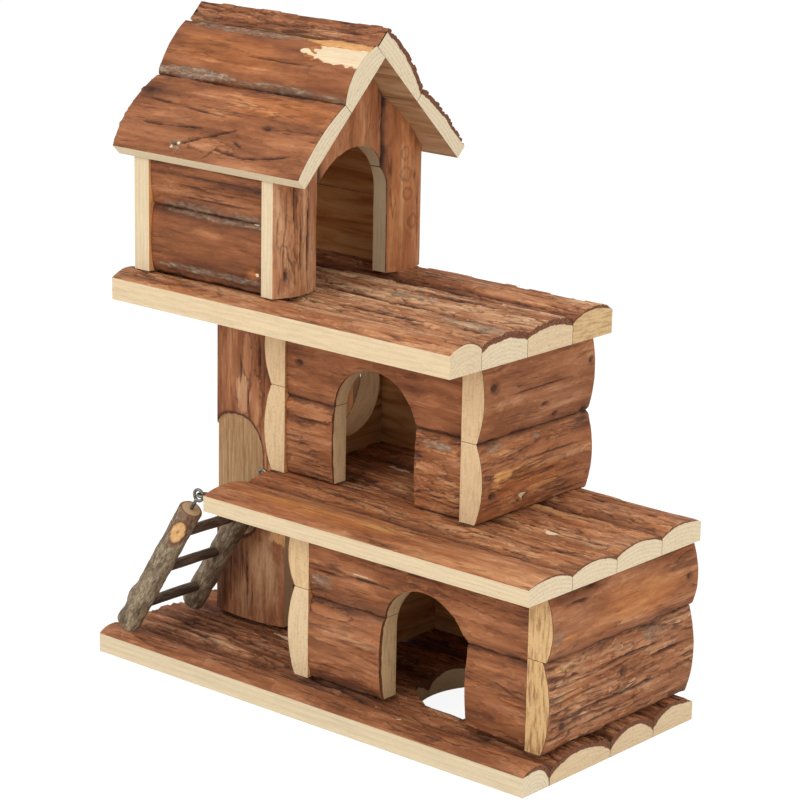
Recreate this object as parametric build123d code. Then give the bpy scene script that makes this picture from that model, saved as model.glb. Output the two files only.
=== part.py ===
from build123d import *
import math
import os

# A three-storey hamster house of half-round bark slabs, standing on its base board.
# X runs along the house and Y from front to back, both from the middle of the base board.
# Z runs up from the underside of the base board. All sizes are in millimetres.

# Boards. Each is a row of slabs laid side by side, flat side down and bark up.
# The edge is a slab's height at its sawn long edges, the crest its height along the middle.
base_slab_widths = [18.0, 42.0, 31.0, 29.0]
base_edge = 8.2
base_crest = 12.0
mid_slab_widths = [29.0, 30.5, 32.0, 28.5]
mid_edge = 7.7
mid_crest = 10.2
top_slab_widths = [20.5, 30.5, 31.0, 28.0]
top_edge = 10.4
top_crest = 13.8

# Lengths of the boards. The middle board ends flush with the base board on the right,
# and the part of the base board left of it is the bay in which the ladder stands.
ladder_bay = 67.0
mid_length = 183.0
top_left_margin = 5.0
top_length = 197.0

# Ground room, at the right end of the base board
ground_wall_height = 70.8
ground_room_length = 147.7
ground_right_margin = 0.5
ground_front_margin = 17.5
ground_rear_margin = 2.5
ground_side_edge = 9.0
ground_side_crest = 12.7
ground_side_joint = 41.2
ground_front_edge = 8.0
ground_front_crest = 11.0
ground_front_joint = 38.0
ground_front_recess = 0.5
ground_rear_edge = 9.0
ground_rear_crest = 12.5
ground_rear_joint = 36.0
ground_door_width = 48.0
ground_door_height = 55.8
ground_door_offset = 65.5
floor_hole_radius = 35.0
floor_hole_from_wall = 69.1
floor_hole_from_front = 64.0

# Middle room, at the left end of the middle board and flush with its rear edge
mid_wall_height = 74.7
mid_room_inner_length = 102.0
mid_room_left_overlap = 8.8
mid_front_margin = 43.0
mid_rear_margin = 0.5
mid_left_edge = 9.0
mid_left_crest = 13.0
mid_left_joint = 40.0
mid_right_edge = 7.5
mid_right_crest = 10.8
mid_right_joint = 36.0
mid_front_edge = 8.0
mid_front_crest = 10.0
mid_front_joint = 36.0
mid_front_recess = 0.5
mid_rear_edge = 8.5
mid_rear_crest = 10.5
mid_rear_joint = 38.0
mid_door_width = 48.0
mid_door_height = 56.8
mid_door_offset = 51.5
wall_hole_radius = 21.5
wall_hole_from_front = 86.0
wall_hole_above_board = 30.0

# Top house, a gabled house at the left end of the top board
house_front_margin = 9.0
house_depth = 98.0
house_left_margin = 14.5
house_inner_length = 68.5
right_gable_edge = 7.0
right_gable_crest = 11.0
left_gable_edge = 8.3
left_gable_crest = 12.0
gable_front_width = 28.5
gable_rear_width = 27.5
house_side_edge = 6.5
house_side_crest = 9.0
house_side_recess = 1.0
house_side_joint = 30.5
house_door_width = 46.0
house_door_height = 60.8
house_door_offset = 1.0

# Roof: two slopes of two slabs. The rear slope laps over the top edge of the front slope.
eave_height = 51.2
eave_overhang = 1.5
roof_pitch = 45.0
roof_left_overhang = 5.5
roof_right_overhang = 15.5
roof_lower_width = 41.0
roof_lower_edge = 6.2
roof_lower_crest = 8.4
roof_upper_edge = 6.5
front_upper_crest = 11.8
front_ridge_edge = 9.0
rear_upper_crest = 11.2
rear_ridge_edge = 10.9
ridge_lap = 7.5

# Support slabs that carry the left end of the top board, from the base board up
front_support_offset = 11.8
front_support_width = 43.5
front_support_edge = 6.5
front_support_crest = 9.5
ladder_side_gap = 3.1
rear_support_offset = 4.0
rear_support_width = 51.0
rear_support_edge = 5.5
rear_support_crest = 8.0

# Ladder of two branch rails and three twig rungs, hung from the middle board on screw eyes
rail_radius = 5.4
ladder_front_margin = 6.5
rail_spacing = 42.0
ladder_lean = 32.2
foot_clearance = 0.3
rung_radius = 2.4
rung_count = 3
rung_spacing = 23.5
first_rung = 16.5
rung_seat = 6.0
rung_fit = 0.05
rung_end_gap = 0.2

# Screw eyes. A board eye lies flat, and a rail eye stands upright and hangs in it.
eye_from_board = 8.7
eye_height = 4.8
eye_ring_radius = 2.6
eye_wire_radius = 0.7
eye_shank_radius = 0.8
eye_hang_gap = 0.3
rail_below_eye = 9.5
eye_depth_in_board = 8.0
eye_depth_in_rail = 10.0
pilot_fit = 0.05
pilot_end_gap = 0.2

# Brads driven up through each board into what stands on it
brad_radius = 0.7
brad_head_radius = 1.3
brad_head_height = 0.8
base_brad_length = 24.0
mid_brad_length = 18.0
top_brad_length = 24.0
brad_spread = 10.0

# Places that follow from the sizes
base_length = ladder_bay + mid_length
base_width = sum(base_slab_widths)
mid_width = sum(mid_slab_widths)
top_width = sum(top_slab_widths)
left_end = -base_length / 2
right_end = base_length / 2
front_edge = -base_width / 2
rear_edge = base_width / 2
mid_left_end = right_end - mid_length
mid_front_edge_y = -mid_width / 2
mid_rear_edge_y = mid_width / 2
top_left_end = left_end + top_left_margin
top_front_edge_y = -top_width / 2
top_rear_edge_y = top_width / 2

ground_floor = base_crest
mid_underside = ground_floor + ground_wall_height
mid_floor = mid_underside + mid_crest
top_underside = mid_floor + mid_wall_height
house_floor = top_underside + top_crest

along_x = (1, 0, 0)
against_x = (-1, 0, 0)
along_y = (0, 1, 0)
against_y = (0, -1, 0)
up = (0, 0, 1)

nodes = {}


def slab(origin, along, across, length, width, edge, crest, far_edge=None):
    """Half-round slab: flat sawn back, square long edges and a bark side crowned between them."""
    last_edge = edge if far_edge is None else far_edge
    outline = [
        Line((0, 0), (width, 0)),
        Line((width, 0), (width, last_edge)),
        ThreePointArc((width, last_edge), (width / 2, crest), (0, edge)),
        Line((0, edge), (0, 0)),
    ]
    section = Plane(origin=origin, x_dir=across, z_dir=along) * make_face(outline)
    return extrude(section, amount=length, dir=along)


def shift(point, direction, distance):
    """Point moved along a direction."""
    return tuple(p + d * distance for p, d in zip(point, direction))


def rod(start, direction, length, radius):
    """Round rod from a start point along a direction."""
    section = Plane(origin=start, z_dir=direction) * Circle(radius)
    return extrude(section, amount=length, dir=direction)


def crown_height(y, front, widths, edge, crest):
    """Height of a board's bark side above its underside, at a place across its slabs."""
    start = front
    for width in widths:
        if y <= start + width:
            rise = crest - edge
            arc_radius = (width ** 2 / 4 + rise ** 2) / (2 * rise)
            offset = y - (start + width / 2)
            return crest - arc_radius + math.sqrt(arc_radius ** 2 - offset ** 2)
        start += width
    return edge


def slab_middles(front, widths):
    """Places of the slabs' crests across a board."""
    middles = []
    start = front
    for width in widths:
        middles.append(start + width / 2)
        start += width
    return middles


def board(name, left, underside, front, widths, length, edge, crest):
    """Row of slabs side by side, numbered from the front."""
    start = front
    for number, width in enumerate(widths, 1):
        origin = (left, start, underside)
        nodes[f"{name}_slab_{number}"] = slab(origin, along_x, along_y, length, width, edge, crest)
        start += width


def wall(name, origin, along, length, height, joint, edge, crest):
    """Two slabs stacked on edge, lying along the wall with their bark outwards."""
    upper = shift(origin, up, joint)
    nodes[f"{name}_lower"] = slab(origin, along, up, length, joint, edge, crest)
    nodes[f"{name}_upper"] = slab(upper, along, up, length, height - joint, edge, crest)


def arch_along_y(centre_x, centre_y, floor, width, height, depth):
    """Door cutter through a wall that faces front: straight sides under a half circle."""
    spring = floor + height - width / 2
    straight = Pos(centre_x, centre_y, (floor + spring) / 2) * Box(width, depth, spring - floor)
    crown = Pos(centre_x, centre_y, spring) * Rot(90, 0, 0) * Cylinder(width / 2, depth)
    return straight + crown


def arch_along_x(centre_x, centre_y, floor, width, height, depth):
    """Door cutter through a wall that faces right."""
    turned = arch_along_y(0, 0, floor, width, height, depth)
    return Pos(centre_x, centre_y, 0) * Rot(0, 0, 90) * turned


def cut(names, cutter):
    for name in names:
        nodes[name] = nodes[name] - cutter


def split_left_right(name):
    """Two pieces that a cut has left of one slab, named by their side."""
    pieces = nodes.pop(name).solids().sort_by(Axis.X)
    nodes[f"{name}_left"] = pieces[0]
    nodes[f"{name}_right"] = pieces[-1]


# Boards
board("base", left_end, 0, front_edge, base_slab_widths, base_length, base_edge, base_crest)
board("mid", mid_left_end, mid_underside, mid_front_edge_y, mid_slab_widths, mid_length, mid_edge, mid_crest)
board("top", top_left_end, top_underside, top_front_edge_y, top_slab_widths, top_length, top_edge, top_crest)

# Ground room: side walls run from front to back, and front and rear walls stand between them
ground_right_inner = right_end - ground_right_margin - ground_side_crest
ground_left_inner = right_end - ground_right_margin - ground_room_length + ground_side_crest
ground_inner_length = ground_right_inner - ground_left_inner
ground_front = front_edge + ground_front_margin
ground_side_length = rear_edge - ground_front
ground_front_inner = ground_front + ground_front_recess + ground_front_crest
ground_rear_inner = rear_edge - ground_rear_margin - ground_rear_crest
wall("ground_left_wall", (ground_left_inner, rear_edge, ground_floor), against_y, ground_side_length,
     ground_wall_height, ground_side_joint, ground_side_edge, ground_side_crest)
wall("ground_right_wall", (ground_right_inner, ground_front, ground_floor), along_y, ground_side_length,
     ground_wall_height, ground_side_joint, ground_side_edge, ground_side_crest)
wall("ground_front_wall", (ground_left_inner, ground_front_inner, ground_floor), along_x,
     ground_inner_length, ground_wall_height, ground_front_joint, ground_front_edge, ground_front_crest)
wall("ground_rear_wall", (ground_right_inner, ground_rear_inner, ground_floor), against_x,
     ground_inner_length, ground_wall_height, ground_rear_joint, ground_rear_edge, ground_rear_crest)

# The ground door cuts the lower front slab in two, and the floor hole cuts the third base slab
ground_door_x = ground_left_inner + ground_door_offset
ground_door = arch_along_y(ground_door_x, ground_front_inner, ground_floor, ground_door_width,
                           ground_door_height, 3 * ground_front_crest)
cut(["ground_front_wall_lower", "ground_front_wall_upper"], ground_door)
split_left_right("ground_front_wall_lower")
floor_hole_x = ground_left_inner + floor_hole_from_wall
floor_hole_y = front_edge + floor_hole_from_front
floor_hole = Pos(floor_hole_x, floor_hole_y, base_crest / 2) * Cylinder(floor_hole_radius, 2 * base_crest)
cut(["base_slab_2", "base_slab_3", "base_slab_4"], floor_hole)
split_left_right("base_slab_3")

# Middle room: built the same way, with a round hole through its left wall
mid_left_inner = mid_left_end + mid_room_left_overlap
mid_right_inner = mid_left_inner + mid_room_inner_length
mid_front = mid_front_edge_y + mid_front_margin
mid_side_length = mid_rear_edge_y - mid_front
mid_front_inner = mid_front + mid_front_recess + mid_front_crest
mid_rear_inner = mid_rear_edge_y - mid_rear_margin - mid_rear_crest
wall("mid_left_wall", (mid_left_inner, mid_rear_edge_y, mid_floor), against_y, mid_side_length,
     mid_wall_height, mid_left_joint, mid_left_edge, mid_left_crest)
wall("mid_right_wall", (mid_right_inner, mid_front, mid_floor), along_y, mid_side_length,
     mid_wall_height, mid_right_joint, mid_right_edge, mid_right_crest)
wall("mid_front_wall", (mid_left_inner, mid_front_inner, mid_floor), along_x,
     mid_room_inner_length, mid_wall_height, mid_front_joint, mid_front_edge, mid_front_crest)
wall("mid_rear_wall", (mid_right_inner, mid_rear_inner, mid_floor), against_x,
     mid_room_inner_length, mid_wall_height, mid_rear_joint, mid_rear_edge, mid_rear_crest)
mid_door_x = mid_left_inner + mid_door_offset
mid_door = arch_along_y(mid_door_x, mid_front_inner, mid_floor, mid_door_width,
                        mid_door_height, 3 * mid_front_crest)
cut(["mid_front_wall_lower", "mid_front_wall_upper"], mid_door)
split_left_right("mid_front_wall_lower")
wall_hole_y = mid_front_edge_y + wall_hole_from_front
wall_hole_z = mid_floor + wall_hole_above_board
wall_hole = Pos(mid_left_inner, wall_hole_y, wall_hole_z) * Rot(0, 90, 0) * Cylinder(
    wall_hole_radius, 3 * mid_left_crest)
cut(["mid_left_wall_lower", "mid_left_wall_upper"], wall_hole)

# Top house: three upright slabs at each end and side walls of two slabs between them
house_front = top_front_edge_y + house_front_margin
house_rear = house_front + house_depth
house_middle_y = (house_front + house_rear) / 2
house_left_inner = top_left_end + house_left_margin
house_right_inner = house_left_inner + house_inner_length
slope = math.tan(math.radians(roof_pitch))
half_span = house_depth / 2 + eave_overhang
eave_z = house_floor + eave_height
apex_z = eave_z + half_span * slope
eave_front_y = house_middle_y - half_span
eave_rear_y = house_middle_y + half_span
house_right_outer = house_right_inner + right_gable_crest
house_left_outer = house_left_inner - left_gable_crest

under_roof = extrude(
    Plane(origin=(left_end, 0, 0), x_dir=along_y, z_dir=along_x) * make_face(Polyline(
        (eave_front_y, house_floor), (eave_rear_y, house_floor), (eave_rear_y, eave_z),
        (house_middle_y, apex_z), (eave_front_y, eave_z), close=True)),
    amount=base_length, dir=along_x)


def gable(name, inner_x, facing_right, edge, crest):
    """Three upright slabs side by side, named from the front, with their tops cut to the roof."""
    middle_width = house_depth - gable_front_width - gable_rear_width
    widths = {"front": gable_front_width, "middle": middle_width, "rear": gable_rear_width}
    start = house_front
    for side, width in widths.items():
        across = against_y if facing_right else along_y
        origin = (inner_x, start + width if facing_right else start, house_floor)
        piece = slab(origin, up, across, apex_z - house_floor, width, edge, crest)
        nodes[f"{name}_{side}"] = piece & under_roof
        start += width


gable("right_gable", house_right_inner, True, right_gable_edge, right_gable_crest)
gable("left_gable", house_left_inner, False, left_gable_edge, left_gable_crest)
house_door_y = house_middle_y + house_door_offset
house_door = arch_along_x(house_right_inner, house_door_y, house_floor, house_door_width,
                          house_door_height, 3 * right_gable_crest)
cut(["right_gable_front", "right_gable_middle", "right_gable_rear"], house_door)

house_front_inner = house_front + house_side_recess + house_side_crest
house_rear_inner = house_rear - house_side_recess - house_side_crest
house_side_height = eave_height + (house_front_inner - eave_front_y) * slope
wall("house_front_wall", (house_left_inner, house_front_inner, house_floor), along_x,
     house_inner_length, house_side_height, house_side_joint, house_side_edge, house_side_crest)
wall("house_rear_wall", (house_right_inner, house_rear_inner, house_floor), against_x,
     house_inner_length, house_side_height, house_side_joint, house_side_edge, house_side_crest)
for name in ("house_front_wall_upper", "house_rear_wall_upper"):
    nodes[name] = nodes[name] & under_roof

# Roof: each slope is two slabs up from the eave, and the rear slope laps over the front one
pitch_cos = math.cos(math.radians(roof_pitch))
pitch_sin = math.sin(math.radians(roof_pitch))
slope_length = half_span / pitch_cos
roof_left = house_left_outer - roof_left_overhang
roof_right = house_right_outer + roof_right_overhang
roof_length = roof_right - roof_left
up_front_slope = (0, pitch_cos, pitch_sin)
up_rear_slope = (0, -pitch_cos, pitch_sin)
front_eave = (roof_left, eave_front_y, eave_z)
rear_eave = (roof_right, eave_rear_y, eave_z)
nodes["roof_front_lower"] = slab(front_eave, along_x, up_front_slope, roof_length, roof_lower_width,
                                 roof_lower_edge, roof_lower_crest)
nodes["roof_front_upper"] = slab(shift(front_eave, up_front_slope, roof_lower_width), along_x,
                                 up_front_slope, roof_length, slope_length - roof_lower_width,
                                 roof_upper_edge, front_upper_crest, front_ridge_edge)
nodes["roof_rear_lower"] = slab(rear_eave, against_x, up_rear_slope, roof_length, roof_lower_width,
                                roof_lower_edge, roof_lower_crest)
nodes["roof_rear_upper"] = slab(shift(rear_eave, up_rear_slope, roof_lower_width), against_x,
                                up_rear_slope, roof_length, slope_length + ridge_lap - roof_lower_width,
                                roof_upper_edge, rear_upper_crest, rear_ridge_edge)
lap_reach = 3 * front_upper_crest
rear_underside = Plane(origin=((roof_left + roof_right) / 2, house_middle_y, apex_z), x_dir=along_x,
                       z_dir=(0, pitch_sin, pitch_cos))
above_rear_slope = extrude(rear_underside * Rectangle(2 * roof_length, lap_reach), amount=lap_reach)
cut(["roof_front_upper"], above_rear_slope)

# Ladder: it turns about the outer wire of the board eyes, and rests with its feet on the base board
lean_sin = math.sin(math.radians(ladder_lean))
lean_cos = math.cos(math.radians(ladder_lean))
down_ladder = (-lean_sin, 0, -lean_cos)
hinge_x = mid_left_end - eye_from_board
hinge_z = mid_underside + eye_height
foot_z = base_crest + foot_clearance + rail_radius * lean_sin
hinge_to_foot = (hinge_z - foot_z) / lean_cos
front_rail_y = front_edge + ladder_front_margin
rear_rail_y = front_rail_y + rail_spacing
rail_ys = {"front": front_rail_y, "rear": rear_rail_y}
eye_drop = eye_ring_radius - 2 * eye_wire_radius - eye_hang_gap
for side, y in rail_ys.items():
    top = shift((hinge_x, y, hinge_z), down_ladder, rail_below_eye)
    nodes[f"ladder_rail_{side}"] = rod(top, down_ladder, hinge_to_foot - rail_below_eye, rail_radius)
rung_start_y = front_rail_y + rail_radius - rung_seat
rung_length = rail_spacing - 2 * rail_radius + 2 * rung_seat
for number in range(1, rung_count + 1):
    below_hinge = rail_below_eye + first_rung + (number - 1) * rung_spacing
    middle = shift((hinge_x, rung_start_y, hinge_z), down_ladder, below_hinge)
    nodes[f"ladder_rung_{number}"] = rod(middle, along_y, rung_length, rung_radius)
    socket_start = shift(middle, along_y, -rung_end_gap)
    socket = rod(socket_start, along_y, rung_length + 2 * rung_end_gap, rung_radius + rung_fit)
    cut(["ladder_rail_front", "ladder_rail_rear"], socket)


def screw_eye(ring_centre, ring_normal, shank_direction, shank_length):
    """Wire ring with a straight shank."""
    ring_plane = Plane(origin=ring_centre, x_dir=shank_direction, z_dir=ring_normal)
    ring = ring_plane * Torus(eye_ring_radius, eye_wire_radius)
    root = shift(ring_centre, shank_direction, eye_ring_radius)
    return ring + rod(root, shank_direction, shank_length, eye_shank_radius)


def pilot_hole(entry, direction, depth):
    """Hole that a shank turns into, a little wider and deeper than the shank."""
    start = shift(entry, direction, -depth)
    return rod(start, direction, 2 * depth + pilot_end_gap, eye_shank_radius + pilot_fit)


board_eyes = []
rail_eyes = []
for side, y in rail_ys.items():
    hinge = (hinge_x, y, hinge_z)
    board_ring = shift(hinge, along_x, eye_ring_radius)
    board_shank = eye_from_board - 2 * eye_ring_radius + eye_depth_in_board
    board_eyes.append(screw_eye(board_ring, up, along_x, board_shank))
    board_entry = (mid_left_end, y, hinge_z)
    cut(["mid_slab_1", "mid_slab_2"], pilot_hole(board_entry, along_x, eye_depth_in_board))
    rail_ring = shift(hinge, down_ladder, eye_drop)
    rail_shank = rail_below_eye - eye_drop - eye_ring_radius + eye_depth_in_rail
    rail_eyes.append(screw_eye(rail_ring, along_y, down_ladder, rail_shank))
    rail_entry = shift(hinge, down_ladder, rail_below_eye)
    cut([f"ladder_rail_{side}"], pilot_hole(rail_entry, down_ladder, eye_depth_in_rail))

# Support slabs: one just behind the ladder, bark to the front, and one near the top board's rear
# edge, bark to the rear. Each stands on the highest part of the base board under its foot.
front_support_y = rear_rail_y + rail_radius + ladder_side_gap + front_support_crest
front_support_foot = max(crown_height(y, front_edge, base_slab_widths, base_edge, base_crest)
                         for y in (front_support_y - front_support_edge, front_support_y))
front_support_x = top_left_end + front_support_offset
nodes["support_slab_front"] = slab(
    (front_support_x + front_support_width, front_support_y, front_support_foot), up, against_x,
    top_underside - front_support_foot, front_support_width, front_support_edge, front_support_crest)
rear_support_y = top_rear_edge_y - rear_support_crest
rear_support_foot = max(crown_height(y, front_edge, base_slab_widths, base_edge, base_crest)
                        for y in (rear_support_y, rear_support_y + rear_support_edge))
rear_support_x = top_left_end + rear_support_offset
nodes["support_slab_rear"] = slab(
    (rear_support_x, rear_support_y, rear_support_foot), up, along_x,
    top_underside - rear_support_foot, rear_support_width, rear_support_edge, rear_support_crest)

# Brads: two for each wall and support, driven up from the underside of the board that it stands on
base_middles = slab_middles(front_edge, base_slab_widths)
mid_middles = slab_middles(mid_front_edge_y, mid_slab_widths)
wooden = list(nodes)


def middle_of(name):
    """Middle of a piece, for the place of a brad under it."""
    centre = nodes[name].bounding_box().center()
    return centre.X, centre.Y


def brad(x, y, underside, length):
    """Brad with its flat head flush in the board's underside."""
    shank = rod((x, y, underside), up, length, brad_radius)
    return shank + rod((x, y, underside), up, brad_head_height, brad_head_radius)


def brad_hole(x, y, underside, length):
    """Hole for a brad, open at the underside."""
    start = underside - pilot_end_gap
    shank = rod((x, y, start), up, length + 2 * pilot_end_gap, brad_radius + pilot_fit)
    head_reach = brad_head_height + 2 * pilot_end_gap
    return shank + rod((x, y, start), up, head_reach, brad_head_radius + pilot_fit)


def meet(first, second):
    """Whether two bounding boxes overlap."""
    return all(a <= d and c <= b for a, b, c, d in zip(first.min, first.max, second.min, second.max))


def drive_brads(name, places, underside, length):
    """Brads at the given places, and their holes in every wooden piece that they pass through."""
    for x, y in places:
        hole = brad_hole(x, y, underside, length)
        for piece in wooden:
            if meet(nodes[piece].bounding_box(), hole.bounding_box()):
                cut([piece], hole)
    nodes[name] = [brad(x, y, underside, length) for x, y in places]


ground_front_y = ground_front_inner - ground_front_edge / 2
ground_rear_y = ground_rear_inner + ground_rear_edge / 2
base_places = []
for x in (ground_left_inner - ground_side_edge / 2, ground_right_inner + ground_side_edge / 2):
    base_places += [(x, base_middles[1]), (x, base_middles[3])]
for side in ("left", "right"):
    base_places.append((middle_of(f"ground_front_wall_lower_{side}")[0], ground_front_y))
ground_middle_x = (ground_left_inner + ground_right_inner) / 2
for x in (ground_middle_x - 3 * brad_spread, ground_middle_x + 3 * brad_spread):
    base_places.append((x, ground_rear_y))
for name, y in (("support_slab_front", front_support_y - front_support_edge / 2),
                ("support_slab_rear", rear_support_y + rear_support_edge / 2)):
    x = middle_of(name)[0]
    base_places += [(x - brad_spread, y), (x + brad_spread, y)]
drive_brads("base_brads", base_places, 0, base_brad_length)

mid_front_y = mid_front_inner - mid_front_edge / 2
mid_rear_y = mid_rear_inner + mid_rear_edge / 2
mid_places = []
for x in (mid_left_inner - mid_left_edge / 2, mid_right_inner + mid_right_edge / 2):
    mid_places += [(x, mid_middles[2]), (x, mid_middles[3])]
for side in ("left", "right"):
    mid_places.append((middle_of(f"mid_front_wall_lower_{side}")[0], mid_front_y))
mid_middle_x = (mid_left_inner + mid_right_inner) / 2
for x in (mid_middle_x - 3 * brad_spread, mid_middle_x + 3 * brad_spread):
    mid_places.append((x, mid_rear_y))
drive_brads("mid_brads", mid_places, mid_underside, mid_brad_length)

top_places = []
for x in (house_left_inner - left_gable_edge / 2, house_right_inner + right_gable_edge / 2):
    top_places += [(x, house_front + gable_front_width / 2), (x, house_rear - gable_rear_width / 2)]
house_middle_x = (house_left_inner + house_right_inner) / 2
for y in (house_front_inner - house_side_edge / 2, house_rear_inner + house_side_edge / 2):
    top_places += [(house_middle_x - 2 * brad_spread, y), (house_middle_x + 2 * brad_spread, y)]
drive_brads("top_brads", top_places, top_underside, top_brad_length)
nodes["board_screw_eyes"] = board_eyes
nodes["ladder_screw_eyes"] = rail_eyes

os.makedirs("parts", exist_ok=True)
for name, shape in nodes.items():
    pieces = shape if isinstance(shape, list) else [shape]
    solids = [solid for piece in pieces for solid in piece.solids()]
    whole = solids[0] if len(solids) == 1 else Compound(children=solids)
    whole.label = name
    export_step(whole, f"parts/{name}.step")
print("hinge x, z:", round(hinge_x, 2), round(hinge_z, 2), "rail ys:", front_rail_y, rear_rail_y)
print("hinge to foot:", round(hinge_to_foot, 2), "top board underside:", round(top_underside, 2))
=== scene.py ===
import bmesh
import bpy
from math import cos, pi, radians, sin, sqrt, tan
from mathutils import Matrix, Vector, noise


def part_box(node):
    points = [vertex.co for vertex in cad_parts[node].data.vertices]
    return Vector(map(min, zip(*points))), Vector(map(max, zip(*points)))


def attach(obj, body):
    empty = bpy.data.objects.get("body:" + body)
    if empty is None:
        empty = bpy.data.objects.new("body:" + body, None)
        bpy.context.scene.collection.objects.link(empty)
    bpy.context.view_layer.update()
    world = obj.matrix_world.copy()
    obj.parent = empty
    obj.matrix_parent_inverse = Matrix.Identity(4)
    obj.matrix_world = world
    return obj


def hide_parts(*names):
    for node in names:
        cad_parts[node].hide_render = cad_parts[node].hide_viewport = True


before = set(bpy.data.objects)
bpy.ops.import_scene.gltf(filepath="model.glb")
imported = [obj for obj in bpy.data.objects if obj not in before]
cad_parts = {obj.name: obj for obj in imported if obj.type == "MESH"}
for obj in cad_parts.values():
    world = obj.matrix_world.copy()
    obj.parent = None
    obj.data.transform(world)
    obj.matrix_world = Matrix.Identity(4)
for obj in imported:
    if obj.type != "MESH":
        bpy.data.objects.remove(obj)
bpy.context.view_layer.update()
scene = bpy.context.scene

# Camera. It stands where the photograph was taken from, level with the middle board
# and a little to the right of the front, and looks at the middle of the house.
MM = 0.001
photo_width_pixels = 800
focal_pixels = 2913.77
camera_place = Vector((802.92, -937.34, 477.26)) * MM
camera_target = Vector((3.88, 0.0, 134.13)) * MM
camera_roll = radians(1.093)
sensor_width = 36.0

camera_data = bpy.data.cameras.new("photo_camera")
camera_data.sensor_width = sensor_width
camera_data.lens = focal_pixels / photo_width_pixels * sensor_width
camera = bpy.data.objects.new("photo_camera", camera_data)
ahead = (camera_target - camera_place).normalized()
level_right = ahead.cross(Vector((0, 0, 1))).normalized()
level_up = level_right.cross(ahead)
right = level_right * cos(camera_roll) + level_up * sin(camera_roll)
above = level_up * cos(camera_roll) - level_right * sin(camera_roll)
camera_turn = Matrix((right, above, -ahead)).transposed().to_4x4()
camera.matrix_world = Matrix.Translation(camera_place) @ camera_turn
scene.collection.objects.link(camera)
scene.camera = camera
scene.view_settings.view_transform = "Standard"


# Light. Large soft lamps in front and above, and a bright room all round, as in a
# product studio. The floor and the room show white and the floor keeps the shadow.
def linear(code):
    """sRGB hex colour as linear values."""
    channels = [int(code[i:i + 2], 16) / 255 for i in (1, 3, 5)]
    return [c / 12.92 if c <= 0.04045 else ((c + 0.055) / 1.055) ** 2.4 for c in channels] + [1.0]


def add_node(tree, kind, inputs=None, stops=None, **settings):
    """Node with its settings, its colour stops and its inputs.

    An input is a value, a hex colour, a socket to link, or a node, which stands for its result.
    """
    node = tree.nodes.new(kind)
    for name, value in settings.items():
        setattr(node, name, value)
    if stops:
        ramp = node.color_ramp
        while len(ramp.elements) < len(stops):
            ramp.elements.new(1.0)
        for element, (place, colour) in zip(ramp.elements, stops):
            element.position = place
            element.color = linear(colour) if isinstance(colour, str) else (colour, colour, colour, 1.0)
    for name, value in (inputs or {}).items():
        if isinstance(value, bpy.types.Node):
            value = next(socket for socket in value.outputs if socket.enabled)
        if isinstance(value, bpy.types.NodeSocket):
            tree.links.new(value, node.inputs[name])
        else:
            node.inputs[name].default_value = linear(value) if isinstance(value, str) else value
    return node


def new_material(name):
    material = bpy.data.materials.new(name)
    material.use_nodes = True
    material.node_tree.nodes.clear()
    return material, material.node_tree


def lamp(name, place, target, size, watts):
    """Square area lamp aimed at a target."""
    data = bpy.data.lights.new(name, "AREA")
    data.size = size
    data.energy = watts
    holder = bpy.data.objects.new(name, data)
    aim = (Vector(target) - Vector(place)).to_track_quat("-Z", "Y")
    holder.matrix_world = Matrix.Translation(place) @ aim.to_matrix().to_4x4()
    scene.collection.objects.link(holder)


room_light = 0.62
house_middle = (0.0, 0.0, 0.14)
lamp("key_lamp", (-0.35, -1.5, 0.95), house_middle, size=1.0, watts=12.5)
lamp("side_lamp", (1.7, -0.5, 0.9), house_middle, size=0.9, watts=10.0)
lamp("top_lamp", (0.1, 0.2, 1.9), house_middle, size=1.2, watts=9.0)

world = bpy.data.worlds.new("white_room")
scene.world = world
world.use_nodes = True
tree = world.node_tree
tree.nodes.clear()
path = add_node(tree, "ShaderNodeLightPath")
seen = path.outputs["Is Camera Ray"]
for ray in ("Is Glossy Ray", "Is Transmission Ray"):
    seen = add_node(tree, "ShaderNodeMath", {0: seen, 1: path.outputs[ray]}, operation="MAXIMUM")
dim = add_node(tree, "ShaderNodeBackground", {"Color": "#FFFFFF", "Strength": room_light})
white = add_node(tree, "ShaderNodeBackground", {"Color": "#FFFFFF", "Strength": 1.0})
both = add_node(tree, "ShaderNodeMixShader", {0: seen, 1: dim, 2: white})
add_node(tree, "ShaderNodeOutputWorld", {"Surface": both})

floor_half = 3.0
floor_white_share = 0.80
floor_glow = 1.14
floor_material, tree = new_material("matt_white_floor")
path = add_node(tree, "ShaderNodeLightPath")
share = add_node(tree, "ShaderNodeMath", {0: path.outputs["Is Camera Ray"], 1: floor_white_share},
                 operation="MULTIPLY")
paint = add_node(tree, "ShaderNodeBsdfDiffuse", {"Color": "#E9E9E7"})
glow = add_node(tree, "ShaderNodeEmission", {"Color": "#FFFFFF", "Strength": floor_glow})
both = add_node(tree, "ShaderNodeMixShader", {0: share, 1: paint, 2: glow})
add_node(tree, "ShaderNodeOutputMaterial", {"Surface": both})
bm = bmesh.new()
bmesh.ops.create_grid(bm, x_segments=1, y_segments=1, size=floor_half)
floor_mesh = bpy.data.meshes.new("floor")
bm.to_mesh(floor_mesh)
bm.free()
floor = bpy.data.objects.new("floor", floor_mesh)
floor.data.materials.append(floor_material)
scene.collection.objects.link(floor)

# Base board. Four half-round slabs sawn from thin conifer logs, flat side down and with the bark
# left on. They lie side by side, and a large round hole is cut through the board.
# The crack brown colours real cracks and also painted shadow along the edges of raised flakes and plates.
crack_and_shadow_brown = "#42261A"
fleck_tan = "#D5A981"
inner_bark = "#B8763F"
wood_pale = "#E8D9BB"
wood_cream = "#DECCAC"
wood_peach = "#E0BF91"
wood_gold = "#CDA263"
stain_brown = "#855530"


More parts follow.
